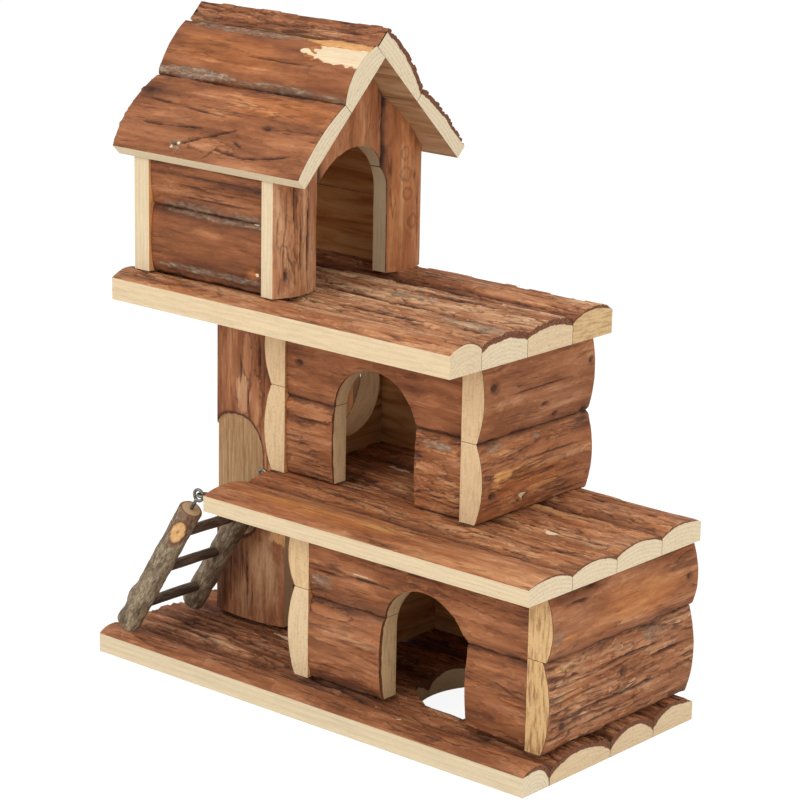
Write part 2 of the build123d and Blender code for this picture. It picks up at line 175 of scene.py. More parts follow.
def bark_material(name):
    """Conifer bark: matt, red-brown to orange-brown, with streaks, thin cracks, flakes with painted shadow
    at their edges, and grey crust.
    """
    material, tree = new_material(name)
    grain = add_node(tree, "ShaderNodeAttribute", attribute_name="grain").outputs["Vector"]
    look = add_node(tree, "ShaderNodeAttribute", attribute_name="bark_look").outputs["Vector"]
    hue = add_node(tree, "ShaderNodeAttribute", attribute_name="bark_hue").outputs["Vector"]
    crack, bare, grey = add_node(tree, "ShaderNodeSeparateXYZ", {0: look}).outputs
    tone, warm, rugged = add_node(tree, "ShaderNodeSeparateXYZ", {0: hue}).outputs
    pattern = {}
    for kind, cell_mm, detail, roughness in (
            ("broad", (42.0, 8.0, 8.0), 4.0, 0.6), ("hue", (55.0, 13.0, 13.0), 3.0, 0.5),
            ("streak", (18.0, 1.2, 1.2), 4.0, 0.6), ("scales", (11.0, 2.6, 2.6), 4.0, 0.6),
            ("lines", (50.0, 3.4, 3.4), 3.0, 0.5), ("line_area", (34.0, 10.0, 10.0), 2.0, 0.5),
            ("ragged", (4.0, 1.2, 1.2), 4.0, 0.55), ("fleck", (3.6, 1.2, 1.2), 3.0, 0.6)):
        scaled = add_node(tree, "ShaderNodeMapping", {"Vector": grain, "Scale": [1 / mm for mm in cell_mm]})
        pattern[kind] = add_node(tree, "ShaderNodeTexNoise", {
            "Vector": scaled, "Scale": 1.0, "Detail": detail, "Roughness": roughness, "Distortion": 0.25})
    flake = add_node(tree, "ShaderNodeMapRange", {0: pattern["scales"], 1: 0.53, 2: 0.57})
    flake = add_node(tree, "ShaderNodeMath", {0: flake, 1: rugged}, operation="MULTIPLY")
    shade = add_node(tree, "ShaderNodeMath", {0: pattern["broad"], 1: 0.8, 2: -0.4},
                     operation="MULTIPLY_ADD")
    shade = add_node(tree, "ShaderNodeMath", {0: shade, 1: tone}, operation="ADD")
    shade = add_node(tree, "ShaderNodeMath", {0: flake, 1: 0.05, 2: shade}, operation="MULTIPLY_ADD")
    red_bark = add_node(tree, "ShaderNodeValToRGB", {0: shade}, stops=[
        (0.05, "#3A1E12"), (0.26, "#643922"), (0.44, "#885231"), (0.60, "#A56B46"), (0.76, "#BE8A63"),
        (0.95, "#D2A77E")])
    orange_bark = add_node(tree, "ShaderNodeValToRGB", {0: shade}, stops=[
        (0.05, "#3E1F0D"), (0.26, "#6D3A1C"), (0.44, "#92552C"), (0.60, "#B06C3C"), (0.76, "#C6864F"),
        (0.95, "#DDA869")])
    warmth = add_node(tree, "ShaderNodeMath", {0: pattern["hue"], 1: 0.9, 2: -0.2},
                      operation="MULTIPLY_ADD")
    warmth = add_node(tree, "ShaderNodeMath", {0: warmth, 1: warm}, operation="ADD", use_clamp=True)
    streak = add_node(tree, "ShaderNodeMath", {0: pattern["streak"], 1: 1.0, 2: -0.5},
                      operation="MULTIPLY_ADD")
    streaky = add_node(tree, "ShaderNodeMapRange", {0: rugged, 1: 0.5, 2: 1.6, 3: 0.45, 4: 0.95})
    streak = add_node(tree, "ShaderNodeMath", {0: streak, 1: streaky, 2: 1.0}, operation="MULTIPLY_ADD")
    plated = add_node(tree, "ShaderNodeMapRange", {0: rugged, 1: 0.5, 2: 1.4, 3: 0.15, 4: 1.0})
    # Painted shadow: the plate ramp darkens a band just outside each small flake; the lighter band inside is
    # the flake's broken edge.
    plate = add_node(tree, "ShaderNodeValToRGB", {0: pattern["scales"]}, stops=[
        (0.40, 0.95), (0.505, 0.97), (0.535, 0.72), (0.553, 1.15), (0.60, 1.06), (0.70, 1.03)])
    plate = add_node(tree, "ShaderNodeMix", {0: plated, 6: "#FFFFFF", 7: plate}, data_type="RGBA")
    line = add_node(tree, "ShaderNodeValToRGB", {0: pattern["lines"]}, stops=[
        (0.465, 1.0), (0.490, 0.46), (0.503, 0.46), (0.520, 1.18), (0.57, 1.0)])
    area = add_node(tree, "ShaderNodeMath", {0: rugged, 1: 0.12, 2: pattern["line_area"]},
                    operation="MULTIPLY_ADD")
    area = add_node(tree, "ShaderNodeMapRange", {0: area, 1: 0.61, 2: 0.69})
    line = add_node(tree, "ShaderNodeMix", {0: area, 6: "#FFFFFF", 7: line}, data_type="RGBA")
    lichen = add_node(tree, "ShaderNodeMath", {0: grey, 1: 0.35, 2: pattern["fleck"]},
                      operation="MULTIPLY_ADD")
    crust = add_node(tree, "ShaderNodeValToRGB", {0: lichen}, stops=[
        (0.52, "#543A2B"), (0.72, "#79624F"), (0.86, "#917B66"), (1.0, "#B09D87")])
    crust_share = add_node(tree, "ShaderNodeMapRange", {0: pattern["scales"], 1: 0.38, 2: 0.58, 3: 0.25,
                           4: 0.95})
    crust_share = add_node(tree, "ShaderNodeMath", {0: crust_share, 1: grey}, operation="MULTIPLY")
    fleck = add_node(tree, "ShaderNodeMapRange", {0: pattern["fleck"], 1: 0.72, 2: 0.76, 3: 0.0, 4: 0.6})
    wood = add_node(tree, "ShaderNodeValToRGB", {0: pattern["streak"]}, stops=[
        (0.3, "#D6BA94"), (0.5, "#DFC8A6"), (0.75, "#E6D3B6")])
    weathered = add_node(tree, "ShaderNodeValToRGB", {0: pattern["streak"]}, stops=[
        (0.3, "#8C6543"), (0.5, "#A88159"), (0.75, "#BB9A70")])
    young = add_node(tree, "ShaderNodeMapRange", {0: tone, 1: 0.15, 2: 0.3})
    wood = add_node(tree, "ShaderNodeMix", {0: young, 6: weathered, 7: wood}, data_type="RGBA")
    worn = add_node(tree, "ShaderNodeMath", {0: pattern["ragged"], 1: 0.5, 2: bare},
                    operation="MULTIPLY_ADD")
    inner = add_node(tree, "ShaderNodeMapRange", {0: worn, 1: 0.42, 2: 0.62, 3: 0.0, 4: 0.8})
    worn = add_node(tree, "ShaderNodeMapRange", {0: worn, 1: 0.70, 2: 0.76})
    colour = add_node(tree, "ShaderNodeMix", {0: warmth, 6: red_bark, 7: orange_bark}, data_type="RGBA")
    for shade in (streak, plate, line):
        colour = add_node(tree, "ShaderNodeMix", {0: 1.0, 6: colour, 7: shade}, data_type="RGBA",
                          blend_type="MULTIPLY")
    for share, cover in ((crust_share, crust), (crack, crack_and_shadow_brown), (fleck, fleck_tan),
                         (inner, inner_bark), (worn, wood)):
        colour = add_node(tree, "ShaderNodeMix", {0: share, 6: colour, 7: cover}, data_type="RGBA")
    relief = add_node(tree, "ShaderNodeMath", {0: pattern["streak"], 1: 0.5, 2: flake},
                      operation="MULTIPLY_ADD")
    relief = add_node(tree, "ShaderNodeMath", {0: line, 1: 0.8, 2: relief}, operation="MULTIPLY_ADD")
    bump = add_node(tree, "ShaderNodeBump", {"Height": relief, "Strength": 0.6, "Distance": 0.0004})
    matt = add_node(tree, "ShaderNodeMapRange", {0: pattern["broad"], 1: 0.3, 2: 0.7, 3: 0.78, 4: 0.6})
    surface = add_node(tree, "ShaderNodeBsdfPrincipled", {"Base Color": colour,
                       "Specular IOR Level": 0.3, "Roughness": matt, "Normal": bump})
    add_node(tree, "ShaderNodeOutputMaterial", {"Surface": surface})
    return material


def sawn_material(name, pale, deep, ring_share, fibre_low, pore_low):
    """Sawn softwood: growth rings round the slab's own pith, fine fibres, and the bark as a rim outside.

    Fibres and pores are drawn about 1 mm wide, coarser than real ones, so that they show.
    """
    material, tree = new_material(name)
    grain = add_node(tree, "ShaderNodeAttribute", attribute_name="grain").outputs["Vector"]
    look = add_node(tree, "ShaderNodeAttribute", attribute_name="sawn_look").outputs["Vector"]
    bark_radius, rim, aged = add_node(tree, "ShaderNodeSeparateXYZ", {0: look}).outputs
    pattern = {}
    for kind, cell_mm, detail in (("fibre", (18.0, 0.8, 0.8), 5.0), ("pores", (1.6, 1.1, 1.1), 3.0),
                                  ("stain", (9.0, 9.0, 1.3), 4.0), ("wobble", (5.0, 4.0, 4.0), 2.0)):
        scaled = add_node(tree, "ShaderNodeMapping", {"Vector": grain, "Scale": [1 / mm for mm in cell_mm]})
        pattern[kind] = add_node(tree, "ShaderNodeTexNoise", {"Vector": scaled, "Scale": 1.0,
                                 "Detail": detail, "Roughness": 0.6})
    ring_spacing_mm = 1.8
    rings = add_node(tree, "ShaderNodeTexWave", {"Vector": grain, "Scale": 2 * pi / (20 * ring_spacing_mm),
                     "Distortion": 1.5, "Detail": 2.0, "Detail Scale": 0.2}, wave_type="RINGS",
                     rings_direction="X")
    ring = add_node(tree, "ShaderNodeMapRange", {0: rings.outputs[1], 1: 0.35, 2: 1.0, 3: 0.0,
                    4: ring_share})
    peach = add_node(tree, "ShaderNodeMapRange", {0: aged})
    golden = add_node(tree, "ShaderNodeMapRange", {0: aged, 1: 1.0, 2: 2.0})
    stain = add_node(tree, "ShaderNodeMapRange", {0: pattern["stain"], 1: 0.46, 2: 0.66, 3: 0.0, 4: 0.85})
    stained = add_node(tree, "ShaderNodeMath", {0: peach, 1: 0.3, 2: golden}, operation="MULTIPLY_ADD")
    stain = add_node(tree, "ShaderNodeMath", {0: stain, 1: stained}, operation="MULTIPLY")
    fibre_shade = add_node(tree, "ShaderNodeValToRGB", {0: pattern["fibre"]}, stops=[
        (0.3, fibre_low), (0.5, 0.99), (0.7, 1.04)])
    pore_shade = add_node(tree, "ShaderNodeValToRGB", {0: pattern["pores"]}, stops=[
        (0.30, pore_low), (0.44, 0.985), (0.7, 1.02)])
    body = pale
    for share, cover in ((ring, deep), (peach, wood_peach), (golden, wood_gold), (stain, stain_brown)):
        body = add_node(tree, "ShaderNodeMix", {0: share, 6: body, 7: cover}, data_type="RGBA")
    for shade in (fibre_shade, pore_shade):
        body = add_node(tree, "ShaderNodeMix", {0: 1.0, 6: body, 7: shade}, data_type="RGBA",
                        blend_type="MULTIPLY")
    out = add_node(tree, "ShaderNodeVectorMath", {0: grain, 1: (0.0, 1.0, 1.0)}, operation="MULTIPLY")
    radius = add_node(tree, "ShaderNodeVectorMath", {0: out}, operation="LENGTH")
    depth = add_node(tree, "ShaderNodeMath", {0: bark_radius, 1: radius.outputs["Value"]},
                     operation="SUBTRACT")
    depth = add_node(tree, "ShaderNodeMath", {0: depth, 1: rim}, operation="DIVIDE")
    depth = add_node(tree, "ShaderNodeMath", {0: pattern["wobble"], 1: 0.7, 2: depth},
                     operation="MULTIPLY_ADD")
    in_bark = add_node(tree, "ShaderNodeMapRange", {0: depth, 1: 1.29, 2: 1.40, 3: 1.0, 4: 0.0})
    cork = add_node(tree, "ShaderNodeValToRGB", {0: pattern["fibre"]}, stops=[
        (0.3, "#4B2916"), (0.5, "#70422A"), (0.72, "#93633F")])
    body = add_node(tree, "ShaderNodeMix", {0: in_bark, 6: body, 7: cork}, data_type="RGBA")
    bump = add_node(tree, "ShaderNodeBump", {"Height": pattern["fibre"], "Strength": 0.3,
                    "Distance": 0.0003})
    surface = add_node(tree, "ShaderNodeBsdfPrincipled", {"Base Color": body,
                       "Roughness": 0.66, "Specular IOR Level": 0.3, "Normal": bump})
    add_node(tree, "ShaderNodeOutputMaterial", {"Surface": surface})
    return material


def back_material(name, dark, middle, light):
    """Rough-sawn inner face: browner than the ends, with saw marks across the grain, small knots and painted
    shade.
    """
    material, tree = new_material(name)
    grain = add_node(tree, "ShaderNodeAttribute", attribute_name="grain").outputs["Vector"]
    pattern = {}
    for kind, cell_mm, detail in (("figure", (40.0, 5.0, 5.0), 4.0), ("fibre", (14.0, 0.8, 0.8), 5.0),
                                  ("saw_marks", (0.9, 24.0, 24.0), 2.0)):
        scaled = add_node(tree, "ShaderNodeMapping", {"Vector": grain, "Scale": [1 / mm for mm in cell_mm]})
        pattern[kind] = add_node(tree, "ShaderNodeTexNoise", {"Vector": scaled, "Scale": 1.0,
                                 "Detail": detail, "Roughness": 0.6, "Distortion": 0.6})
    body = add_node(tree, "ShaderNodeValToRGB", {0: pattern["figure"]}, stops=[
        (0.35, dark), (0.5, middle), (0.62, light)])
    fibre_shade = add_node(tree, "ShaderNodeValToRGB", {0: pattern["fibre"]}, stops=[
        (0.3, 0.82), (0.5, 0.98), (0.7, 1.06)])
    look = add_node(tree, "ShaderNodeAttribute", attribute_name="sawn_look").outputs["Vector"]
    aged = add_node(tree, "ShaderNodeSeparateXYZ", {0: look}).outputs[2]
    # Painted shade: the inner face is drawn darker as the slab's age value rises, from 1.05 at 0.2 to 0.72
    # at 1.0, standing in for the shade inside the rooms.
    painted_room_shade = add_node(tree, "ShaderNodeMapRange", {0: aged, 1: 0.2, 2: 1.0, 3: 1.05, 4: 0.72})
    for shade in (fibre_shade, painted_room_shade):
        body = add_node(tree, "ShaderNodeMix", {0: 1.0, 6: body, 7: shade}, data_type="RGBA",
                        blend_type="MULTIPLY")
    knot_brown = "#4A2A17"
    knot_spacing_mm = 24.0
    knot_place = add_node(tree, "ShaderNodeMapping", {"Vector": grain,
                          "Scale": (1 / (1.6 * knot_spacing_mm), 1 / knot_spacing_mm, 0.0)})
    knots = add_node(tree, "ShaderNodeTexVoronoi", {"Vector": knot_place, "Scale": 1.0})
    knot = add_node(tree, "ShaderNodeMapRange", {0: knots, 1: 0.04, 2: 0.075, 3: 1.0, 4: 0.0})
    body = add_node(tree, "ShaderNodeMix", {0: knot, 6: body, 7: knot_brown}, data_type="RGBA")
    bump = add_node(tree, "ShaderNodeBump", {"Height": pattern["saw_marks"], "Strength": 0.5,
                    "Distance": 0.0002})
    surface = add_node(tree, "ShaderNodeBsdfPrincipled", {"Base Color": body,
                       "Roughness": 0.72, "Specular IOR Level": 0.3, "Normal": bump})
    add_node(tree, "ShaderNodeOutputMaterial", {"Surface": surface})
    return material


# The brown back is partly the rough-sawn wood's own brown and partly painted shade, for inner faces deep in
# the rooms; the pale back goes on the right walls' inner faces, which the light reaches, and under the roof.
slab_materials = (bark_material("conifer_bark"),
                  sawn_material("sawn_softwood", wood_cream, "#C9AE80", 0.3, 0.88, 0.95),
                  sawn_material("softwood_end_grain", wood_pale, "#D3BA92", 0.42, 0.95, 0.80),
                  back_material("shaded_brown_sawn_back", "#BA7B43", "#DA9E61", "#E6B37A"),
                  back_material("pale_sawn_back", "#A87C55", "#C29A72", "#D0AF88"))
bark_face, sawn_face, end_face, shaded_brown_back, pale_back = range(5)
bark_cell = (0.85, 0.5)
back_gap = 0.08
joint_gap = 0.12
open_seam = 0.5
closed_rim = 0.15
roof_overhang_room = 1.9
crest_room = 0.5
bend_length, bend_width, bend_reach = 34.0, 14.0, 2.2
ridge_length, ridge_width, ridge_height = 60.0, 13.0, 0.35
flake_length, flake_width, flake_height, flake_edge = 26.0, 5.2, 0.4, (0.16, 0.21)
worn_length, worn_width, worn_depth, worn_edge = 38.0, 5.0, 0.45, (0.22, 0.27)
split_length, split_width, split_depth, split_half = 80.0, 4.6, 1.0, 0.10
plate_length, plate_width, joint_depth = 30.0, 4.8, 0.6
ripple_length, ripple_width, ripple_height = 14.0, 1.6, 0.07
sawn_height = -0.35
sawn_share = 0.85
end_fade = (0.2, 2.6)
seam_fade = (0.5, 3.2)
arris_width = 0.7
valley_width = 5.0
mark_tints = {"inner": (0.2, 0.9), "warm": (0.07, 0.8), "pale": (0.14, -0.4), "dark": (-0.16, 0.0)}


def ease(value, low, high):
    """Smooth step from 0 at low to 1 at high."""
    t = min(1.0, max(0.0, (value - low) / (high - low)))
    return t * t * (3 - 2 * t)


# Blender takes noise_vector's offsets from the clock, so a fixed seed makes the bark the same in each run.
noise.seed_set(5)


def bark_relief(u, v, seed, rugged):
    """Bark at a place on a slab: height over the crown in mm, share of crack and painted shadow, tone and
    warmth.
    """
    bend = v + bend_reach * noise.noise((u / bend_length, v / bend_width, seed))
    broad = noise.noise((u / ridge_length, v / ridge_width, seed + 7))
    flake = noise.fractal((u / flake_length, bend / flake_width, seed + 3), 0.8, 2.0, 3)
    worn = noise.fractal((u / worn_length, bend / worn_width, seed + 23), 0.8, 2.0, 3)
    split = noise.fractal((u / split_length, bend / split_width, seed + 17), 0.9, 2.0, 2)
    split_here = ease(noise.noise((u / 50, v / 16, seed + 29)) + 0.45 * (rugged - 1), -0.02, 0.16)
    upper = ease(flake, *flake_edge)
    lower = ease(-worn, *worn_edge)
    gap = max(0.0, 1 - abs(split) / split_half) * split_here
    ripple = noise.noise((u / ripple_length, bend / ripple_width, seed + 11))

    # Bark plates are cells drawn out along the stem, and the cracks between them run mostly that way.
    warp = noise.noise_vector((u / 7, v / 3, seed + 31))
    here = Vector((u / plate_length + 0.16 * warp.x, bend / plate_width + 0.20 * warp.y, seed))
    (plate, beside, *_) = noise.voronoi(here)[1]
    away = beside - plate
    lengthways, crossways = (away.y / plate_width) ** 2, (away.x / plate_length) ** 2
    seam = ((plate + beside) / 2 - here).dot(away) / sqrt(lengthways + crossways)
    plated = ease(noise.noise((u / 36, v / 12, seed + 37)) + 0.6 * (rugged - 1.15), -0.1, 0.15)
    strong = ease(warp.z, -0.5, 0.3) * (0.2 + 0.8 * lengthways / (lengthways + crossways))
    joint = plated * strong * (1 - ease(seam, 0.14, 0.65))
    own_tone, own_warmth = (plated * noise.noise(3.7 * plate + Vector((0, 0, n))) for n in (0.3, 9.3))

    height = rugged * (ridge_height * broad + flake_height * upper - worn_depth * lower - split_depth * gap
                       - joint_depth * joint)
    height += 0.5 * own_tone + ripple_height * ripple - 0.3
    # Painted shadow: a dark band just outside each raised flake and round each worn hollow, which the crack
    # share below carries into the colour.
    shadow = max(0.0, 1 - abs(flake - 0.155) / 0.05, 1 - abs(worn + 0.25) / 0.05)
    lip = max(0.0, 1 - abs(flake - 0.25) / 0.07) + max(0.0, 1 - abs(split - 0.2) / 0.08) * split_here
    tint = rugged * (0.05 * upper - 0.04 * lower + 0.07 * lip) + 0.03 * ripple
    tint += 0.16 * own_tone + 0.06 * plated * max(0.0, 1 - abs(seam - 0.9) / 0.4)
    crack = min(1.2, rugged) * max(0.85 * gap, 0.4 * min(1.0, rugged) * shadow, 0.8 * joint)
    return height, crack, tint, 0.7 * own_warmth


def arc_centre(first, middle, last):
    """Centre of the circle through three points."""
    (ax, ay), (bx, by), (cx, cy) = first, middle, last
    a, b, c = ax * ax + ay * ay, bx * bx + by * by, cx * cx + cy * cy
    twice = 2 * (ax * (by - cy) + bx * (cy - ay) + cx * (ay - by))
    x = (a * (by - cy) + b * (cy - ay) + c * (ay - by)) / twice
    y = (a * (cx - bx) + b * (ax - cx) + c * (bx - ax)) / twice
    return x, y


class Slab:
    """Half-round slab laid on a CAD node's box: u along the stem, v across it and w out to the bark, in mm.

    Marks are (kind, u, v, half length, half width): bare wood, inner bark, crust, knots, plates, cracks.
    A slanted mark has its slope as a sixth value.
    """

    def __init__(self, node, along, across, edge, far_edge=None, seed=0.0, rugged=0.8, tone=0.5, warm=0.0,
                 rim=(0.6, 0.9), aged=0.4, marks=(), seams=(1.0, 1.0), crust=0.3, lift=0.0, wrapped=False,
                 chips=(0.0, 0.0, 0.0), back=shaded_brown_back, matrix=None, sizes=None):
        self.node, self.seed, self.rugged, self.tone, self.warm = node, seed, rugged, tone, warm
        self.rim, self.aged, self.marks, self.seams, self.crust = rim, aged, marks, seams, crust
        self.wrapped, self.chips, self.back = wrapped, chips, back
        if matrix is None:
            along, across = Vector(along), Vector(across)
            outward = along.cross(across)
            low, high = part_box(node)
            size = high - low
            sizes = [abs(d.dot(size)) for d in (along, across, outward)]
            matrix = Matrix((along, across, outward)).transposed().to_4x4()
            matrix.translation = (low + high) / 2 - matrix.to_3x3() @ Vector(sizes) / 2
        self.matrix = matrix @ Matrix.Scale(MM, 4)
        self.length, self.width, crest = [s / MM for s in sizes]
        self.edge = edge + lift
        self.far_edge = self.edge if far_edge is None else far_edge + lift
        self.crest = crest + lift
        self.rise = self.crest - (self.edge + self.far_edge) / 2
        self.pith = arc_centre((0.0, self.edge), (self.width / 2, self.crest), (self.width, self.far_edge))
        self.bark_radius = self.crest - self.pith[1]
        self.known = {}

    def surface(self, u, s):
        """Place across, height over the back and look of the bark, s mm over from the near edge."""
        key = (round(u, 2), round(s, 2))
        if key not in self.known:
            v = min(s, self.width)
            t = v / self.width
            swell = 1 + 0.08 * noise.noise((u / 70, self.seed, 4.0))
            crown = self.edge + (self.far_edge - self.edge) * t + self.rise * swell * 4 * t * (1 - t)
            height, crack, tint, swing = bark_relief(u, s, self.seed, self.rugged)
            far = s > self.width / 2
            side = s if not far else self.width - s
            if self.wrapped and far:
                side = 99.0
            seam = self.seams[far]
            sawn_end = sawn_share * (1 - ease(min(u, self.length - u), *end_fade))
            sawn_end *= 1.0 if self.rugged < 1.3 else 0.15
            if seam < open_seam:
                calm = max(sawn_end, 1 - ease(side, *seam_fade))
                height += (sawn_height - height) * calm
                arris = max(0.0, 1 - side / arris_width)
                height -= 0.2 * arris ** 2
                crack *= 1 - calm
                valley = 0.0
            else:
                height += (sawn_height - height) * sawn_end
                ragged = side + 0.9 * noise.noise((u / 11, far * 9.0, self.seed + 41))
                ragged = max(0.0, ragged + 0.7 * noise.noise((u / 3.6, far * 9.0, self.seed + 47)))
                arris = max(0.0, 1 - ragged / (0.5 + 1.0 * seam))
                valley = seam * max(0.0, 1 - side / valley_width)
                height -= (0.3 + 0.6 * seam) * arris ** 2
                dark = ease(noise.noise((u / 19, far * 6.0, self.seed + 43)), -0.45, 0.25)
                crack = max(crack, seam * arris * (0.3 + 0.55 * dark))
            crusty = ease(valley + 0.9 * noise.noise((u / 22, far * 5.0, self.seed + 53)), 0.5, 0.8)
            # Towards an open seam the tone falls by up to 0.10 over valley_width: painted shade in the
            # hollow between slabs.
            look = {"height": height, "crack": crack, "bare": 0.0, "grey": self.crust * crusty,
                    "tone": self.tone + tint - 0.10 * valley, "warm": self.warm + swing}
            for mark in self.marks:
                self.apply(mark, u, s, look)
            height = look["height"]
            if s <= self.width:
                top = crown + height
                soft = self.crest - crest_room
                if top > soft:
                    top = self.crest - crest_room / (1 + (top - soft) / crest_room)
                place = (v, top)
            else:
                over = s - self.width
                place = (self.width + height * ease(over, 0.0, 1.5), self.far_edge - 0.5 - over)
            self.known[key] = place + ((min(1.0, look["crack"]), look["bare"], look["grey"]),
                                       (look["tone"], look["warm"], self.rugged))
        return self.known[key]

    def apply(self, mark, u, s, look):
        """Changes the bark's height and look where a mark is."""
        kind, at_u, at_v, half_u, half_v, *slope = mark
        du, dv = (u - at_u) / half_u, (s - at_v - sum(slope) * (u - at_u)) / half_v
        if kind == "stripped":
            du, dv = du if du > 0 else du / 1.4, dv if dv < 0 else dv / 1.3
            reach = (abs(du) ** 2.6 + abs(dv) ** 2.6) ** (1 / 2.6)
        else:
            reach = sqrt(du * du + dv * dv)
        if reach > 2:
            return
        ragged = reach + 0.3 * noise.fractal((u / 4, s / 1.8, self.seed + 61), 0.7, 2.0, 2)
        share = 1 - ease(ragged, 0.92, 1.08)
        soft = 1 - ease(ragged, 0.5, 1.4)
        outline = max(0.0, 1 - abs(ragged - 1.05) / 0.1)
        tone, warm = mark_tints.get(kind, (0.0, 0.0))
        look["tone"] += tone * soft
        look["warm"] += warm * soft
        if kind == "bare":
            look["height"] -= 0.5 * share
            look["crack"] *= 1 - soft
            look["bare"] = max(look["bare"], 1 - ease(ragged, 0.72, 1.28))
        elif kind == "inner":
            look["height"] -= 0.3 * share
            look["crack"] *= 1 - share
        elif kind == "gold":
            look["height"] -= 0.3 * share
            look["crack"] *= 1 - share
            look["bare"] = look["bare"] * (1 - share) + 0.2 * share
            look["tone"] += 0.46 * share
            look["warm"] += 0.9 * soft
        elif kind == "grey":
            look["height"] += 0.3 * share * (1 + 2 * noise.noise((u / 1.6, s / 1.4, self.seed)))
            look["crack"] = max(look["crack"] * (1 - share), 0.25 * outline)
            look["grey"] = max(look["grey"], share)
        elif kind == "crust":
            look["height"] += 0.2 * share * (1 + 2 * noise.noise((u / 1.6, s / 1.4, self.seed)))
            look["grey"] = max(look["grey"], 0.8 * share)
        elif kind in ("knot", "pale_knot"):
            pit = 1 - ease(reach, 0.55, 0.95)
            look["height"] += -1.0 * pit + 0.45 * max(0.0, 1 - abs(ragged - 1.2) / 0.4)
            look["crack"] = max(look["crack"], 0.9 * pit, 0.5 * max(0.0, 1 - abs(reach - 1.1) / 0.5))
            if kind == "pale_knot" and ragged < 0.62:
                look["bare"], look["crack"] = 0.3 + 0.5 * ease(du + dv, -0.3, 0.3), 0.0
                look["height"] += 0.9
        elif kind == "chip":
            flat = 1 - ease(ragged, 0.8, 1.1)
            look["bare"] = max(look["bare"], flat)
            look["crack"] *= 1 - flat
        elif kind == "plate":
            look["height"] += 0.55 * share
            # The dark outline round a raised plate is painted shadow at its edge.
            look["crack"] = max(look["crack"] * (1 - share), 0.7 * outline)
            look["tone"] += 0.1 * share
        elif kind == "stripped":
            flat = 1 - ease(reach, 0.97, 1.0)
            look["height"] -= 1.0 * flat
            # The dark outline round the stripped patch is painted shadow of the bark's cut edge.
            look["crack"] = max(look["crack"] * (1 - flat), 0.8 * max(0.0, 1 - abs(reach - 1.02) / 0.05))
            look["bare"] = max(look["bare"], flat)
            look["tone"] -= (1 - ease(reach, 1.0, 1.05)) * (look["tone"] - 0.1)
        elif kind == "loop":
            ring = max(0.0, 1 - abs(ragged - 1) / 0.34)
            look["height"] -= 0.35 * ring
            look["crack"] = max(look["crack"], 0.45 * ring)
            look["tone"] += 0.05 * max(0.0, 1 - abs(reach - 1.5) / 0.3)
        elif kind == "crack":
            line = 1 - ease(ragged, 0.3, 1.0)
            look["height"] -= 0.9 * line
            look["crack"] = max(look["crack"], line)
        elif kind == "dip":
            look["height"] -= 2.2 * (1 - ease(abs(du), 0.85, 1.1)) * (1 - ease(abs(dv), 0.55, 1.3))

    def build(self, cutters=(), planes=()):
        """Piece of this slab, with doors and holes cut by other meshes and its end trimmed by planes."""
        cell = bark_cell
        reach = self.width + (self.far_edge - 0.6 if self.wrapped else 0.0)
        far = reach if self.wrapped else reach - joint_gap
        chip, chip_bulge, chip_spread = self.chips
        bm = bmesh.new()
        bmesh.ops.create_grid(bm, x_segments=max(2, round(self.length / cell[0])),
                              y_segments=max(2, round(reach / cell[1])), size=0.5)
        for vert in bm.verts:
            u, s = (vert.co.x + 0.5) * self.length, joint_gap + (vert.co.y + 0.5) * (far - joint_gap)
            v, w, _, _ = self.surface(u, s)
            t = min(1.0, s / self.width)
            flaky = max(0.0, noise.fractal((s / 2.5, self.seed, 7.0), 0.7, 2.0, 3) - 0.15)
            shift = max(-roof_overhang_room, chip + chip_bulge * 4 * t * (1 - t) - chip_spread * flaky)
            vert.co = (u + shift * max(0.0, 1 - u / 4), v, w)
        bark_faces = set(bm.faces)
        rim = bmesh.ops.extrude_edge_only(bm, edges=[e for e in bm.edges if e.is_boundary])
        for vert in rim["geom"]:
            if isinstance(vert, bmesh.types.BMVert):
                vert.co.z = back_gap
        side_faces = set(bm.faces) - bark_faces
        bmesh.ops.edgeloop_fill(bm, edges=[e for e in bm.edges if e.is_boundary])
        for face in bm.faces:
            if face in bark_faces:
                face.material_index = bark_face
            elif face in side_faces:
                middle = face.calc_center_median().y
                near, far_side = middle < joint_gap + 0.05, middle > self.width - joint_gap - 0.05
                if near or far_side:
                    face.material_index = sawn_face if self.seams[far_side] < open_seam else bark_face
                else:
                    face.material_index = end_face
            else:
                face.material_index = self.back
        bm.transform(self.matrix)
        for place, outward in planes:
            cut = bmesh.ops.bisect_plane(bm, geom=bm.verts[:] + bm.edges[:] + bm.faces[:], dist=1e-7,
                                         plane_co=place, plane_no=outward, clear_outer=True)
            edges = [g for g in cut["geom_cut"] if isinstance(g, bmesh.types.BMEdge)]
            filled = bmesh.ops.edgeloop_fill(bm, edges=[e for e in edges if e.is_boundary])
            for face in filled["faces"]:
                face.material_index = sawn_face
        bmesh.ops.recalc_face_normals(bm, faces=bm.faces)
        mesh = bpy.data.meshes.new(self.node + "_bark")
        bm.to_mesh(mesh)
        bm.free()
        for material in slab_materials:
            mesh.materials.append(material)
        piece = bpy.data.objects.new(self.node + "_bark", mesh)
        scene.collection.objects.link(piece)
        for cutter in cutters:
            carve(piece, cutter)
        self.dress(piece.data)
        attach(piece, "house")
        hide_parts(self.node)

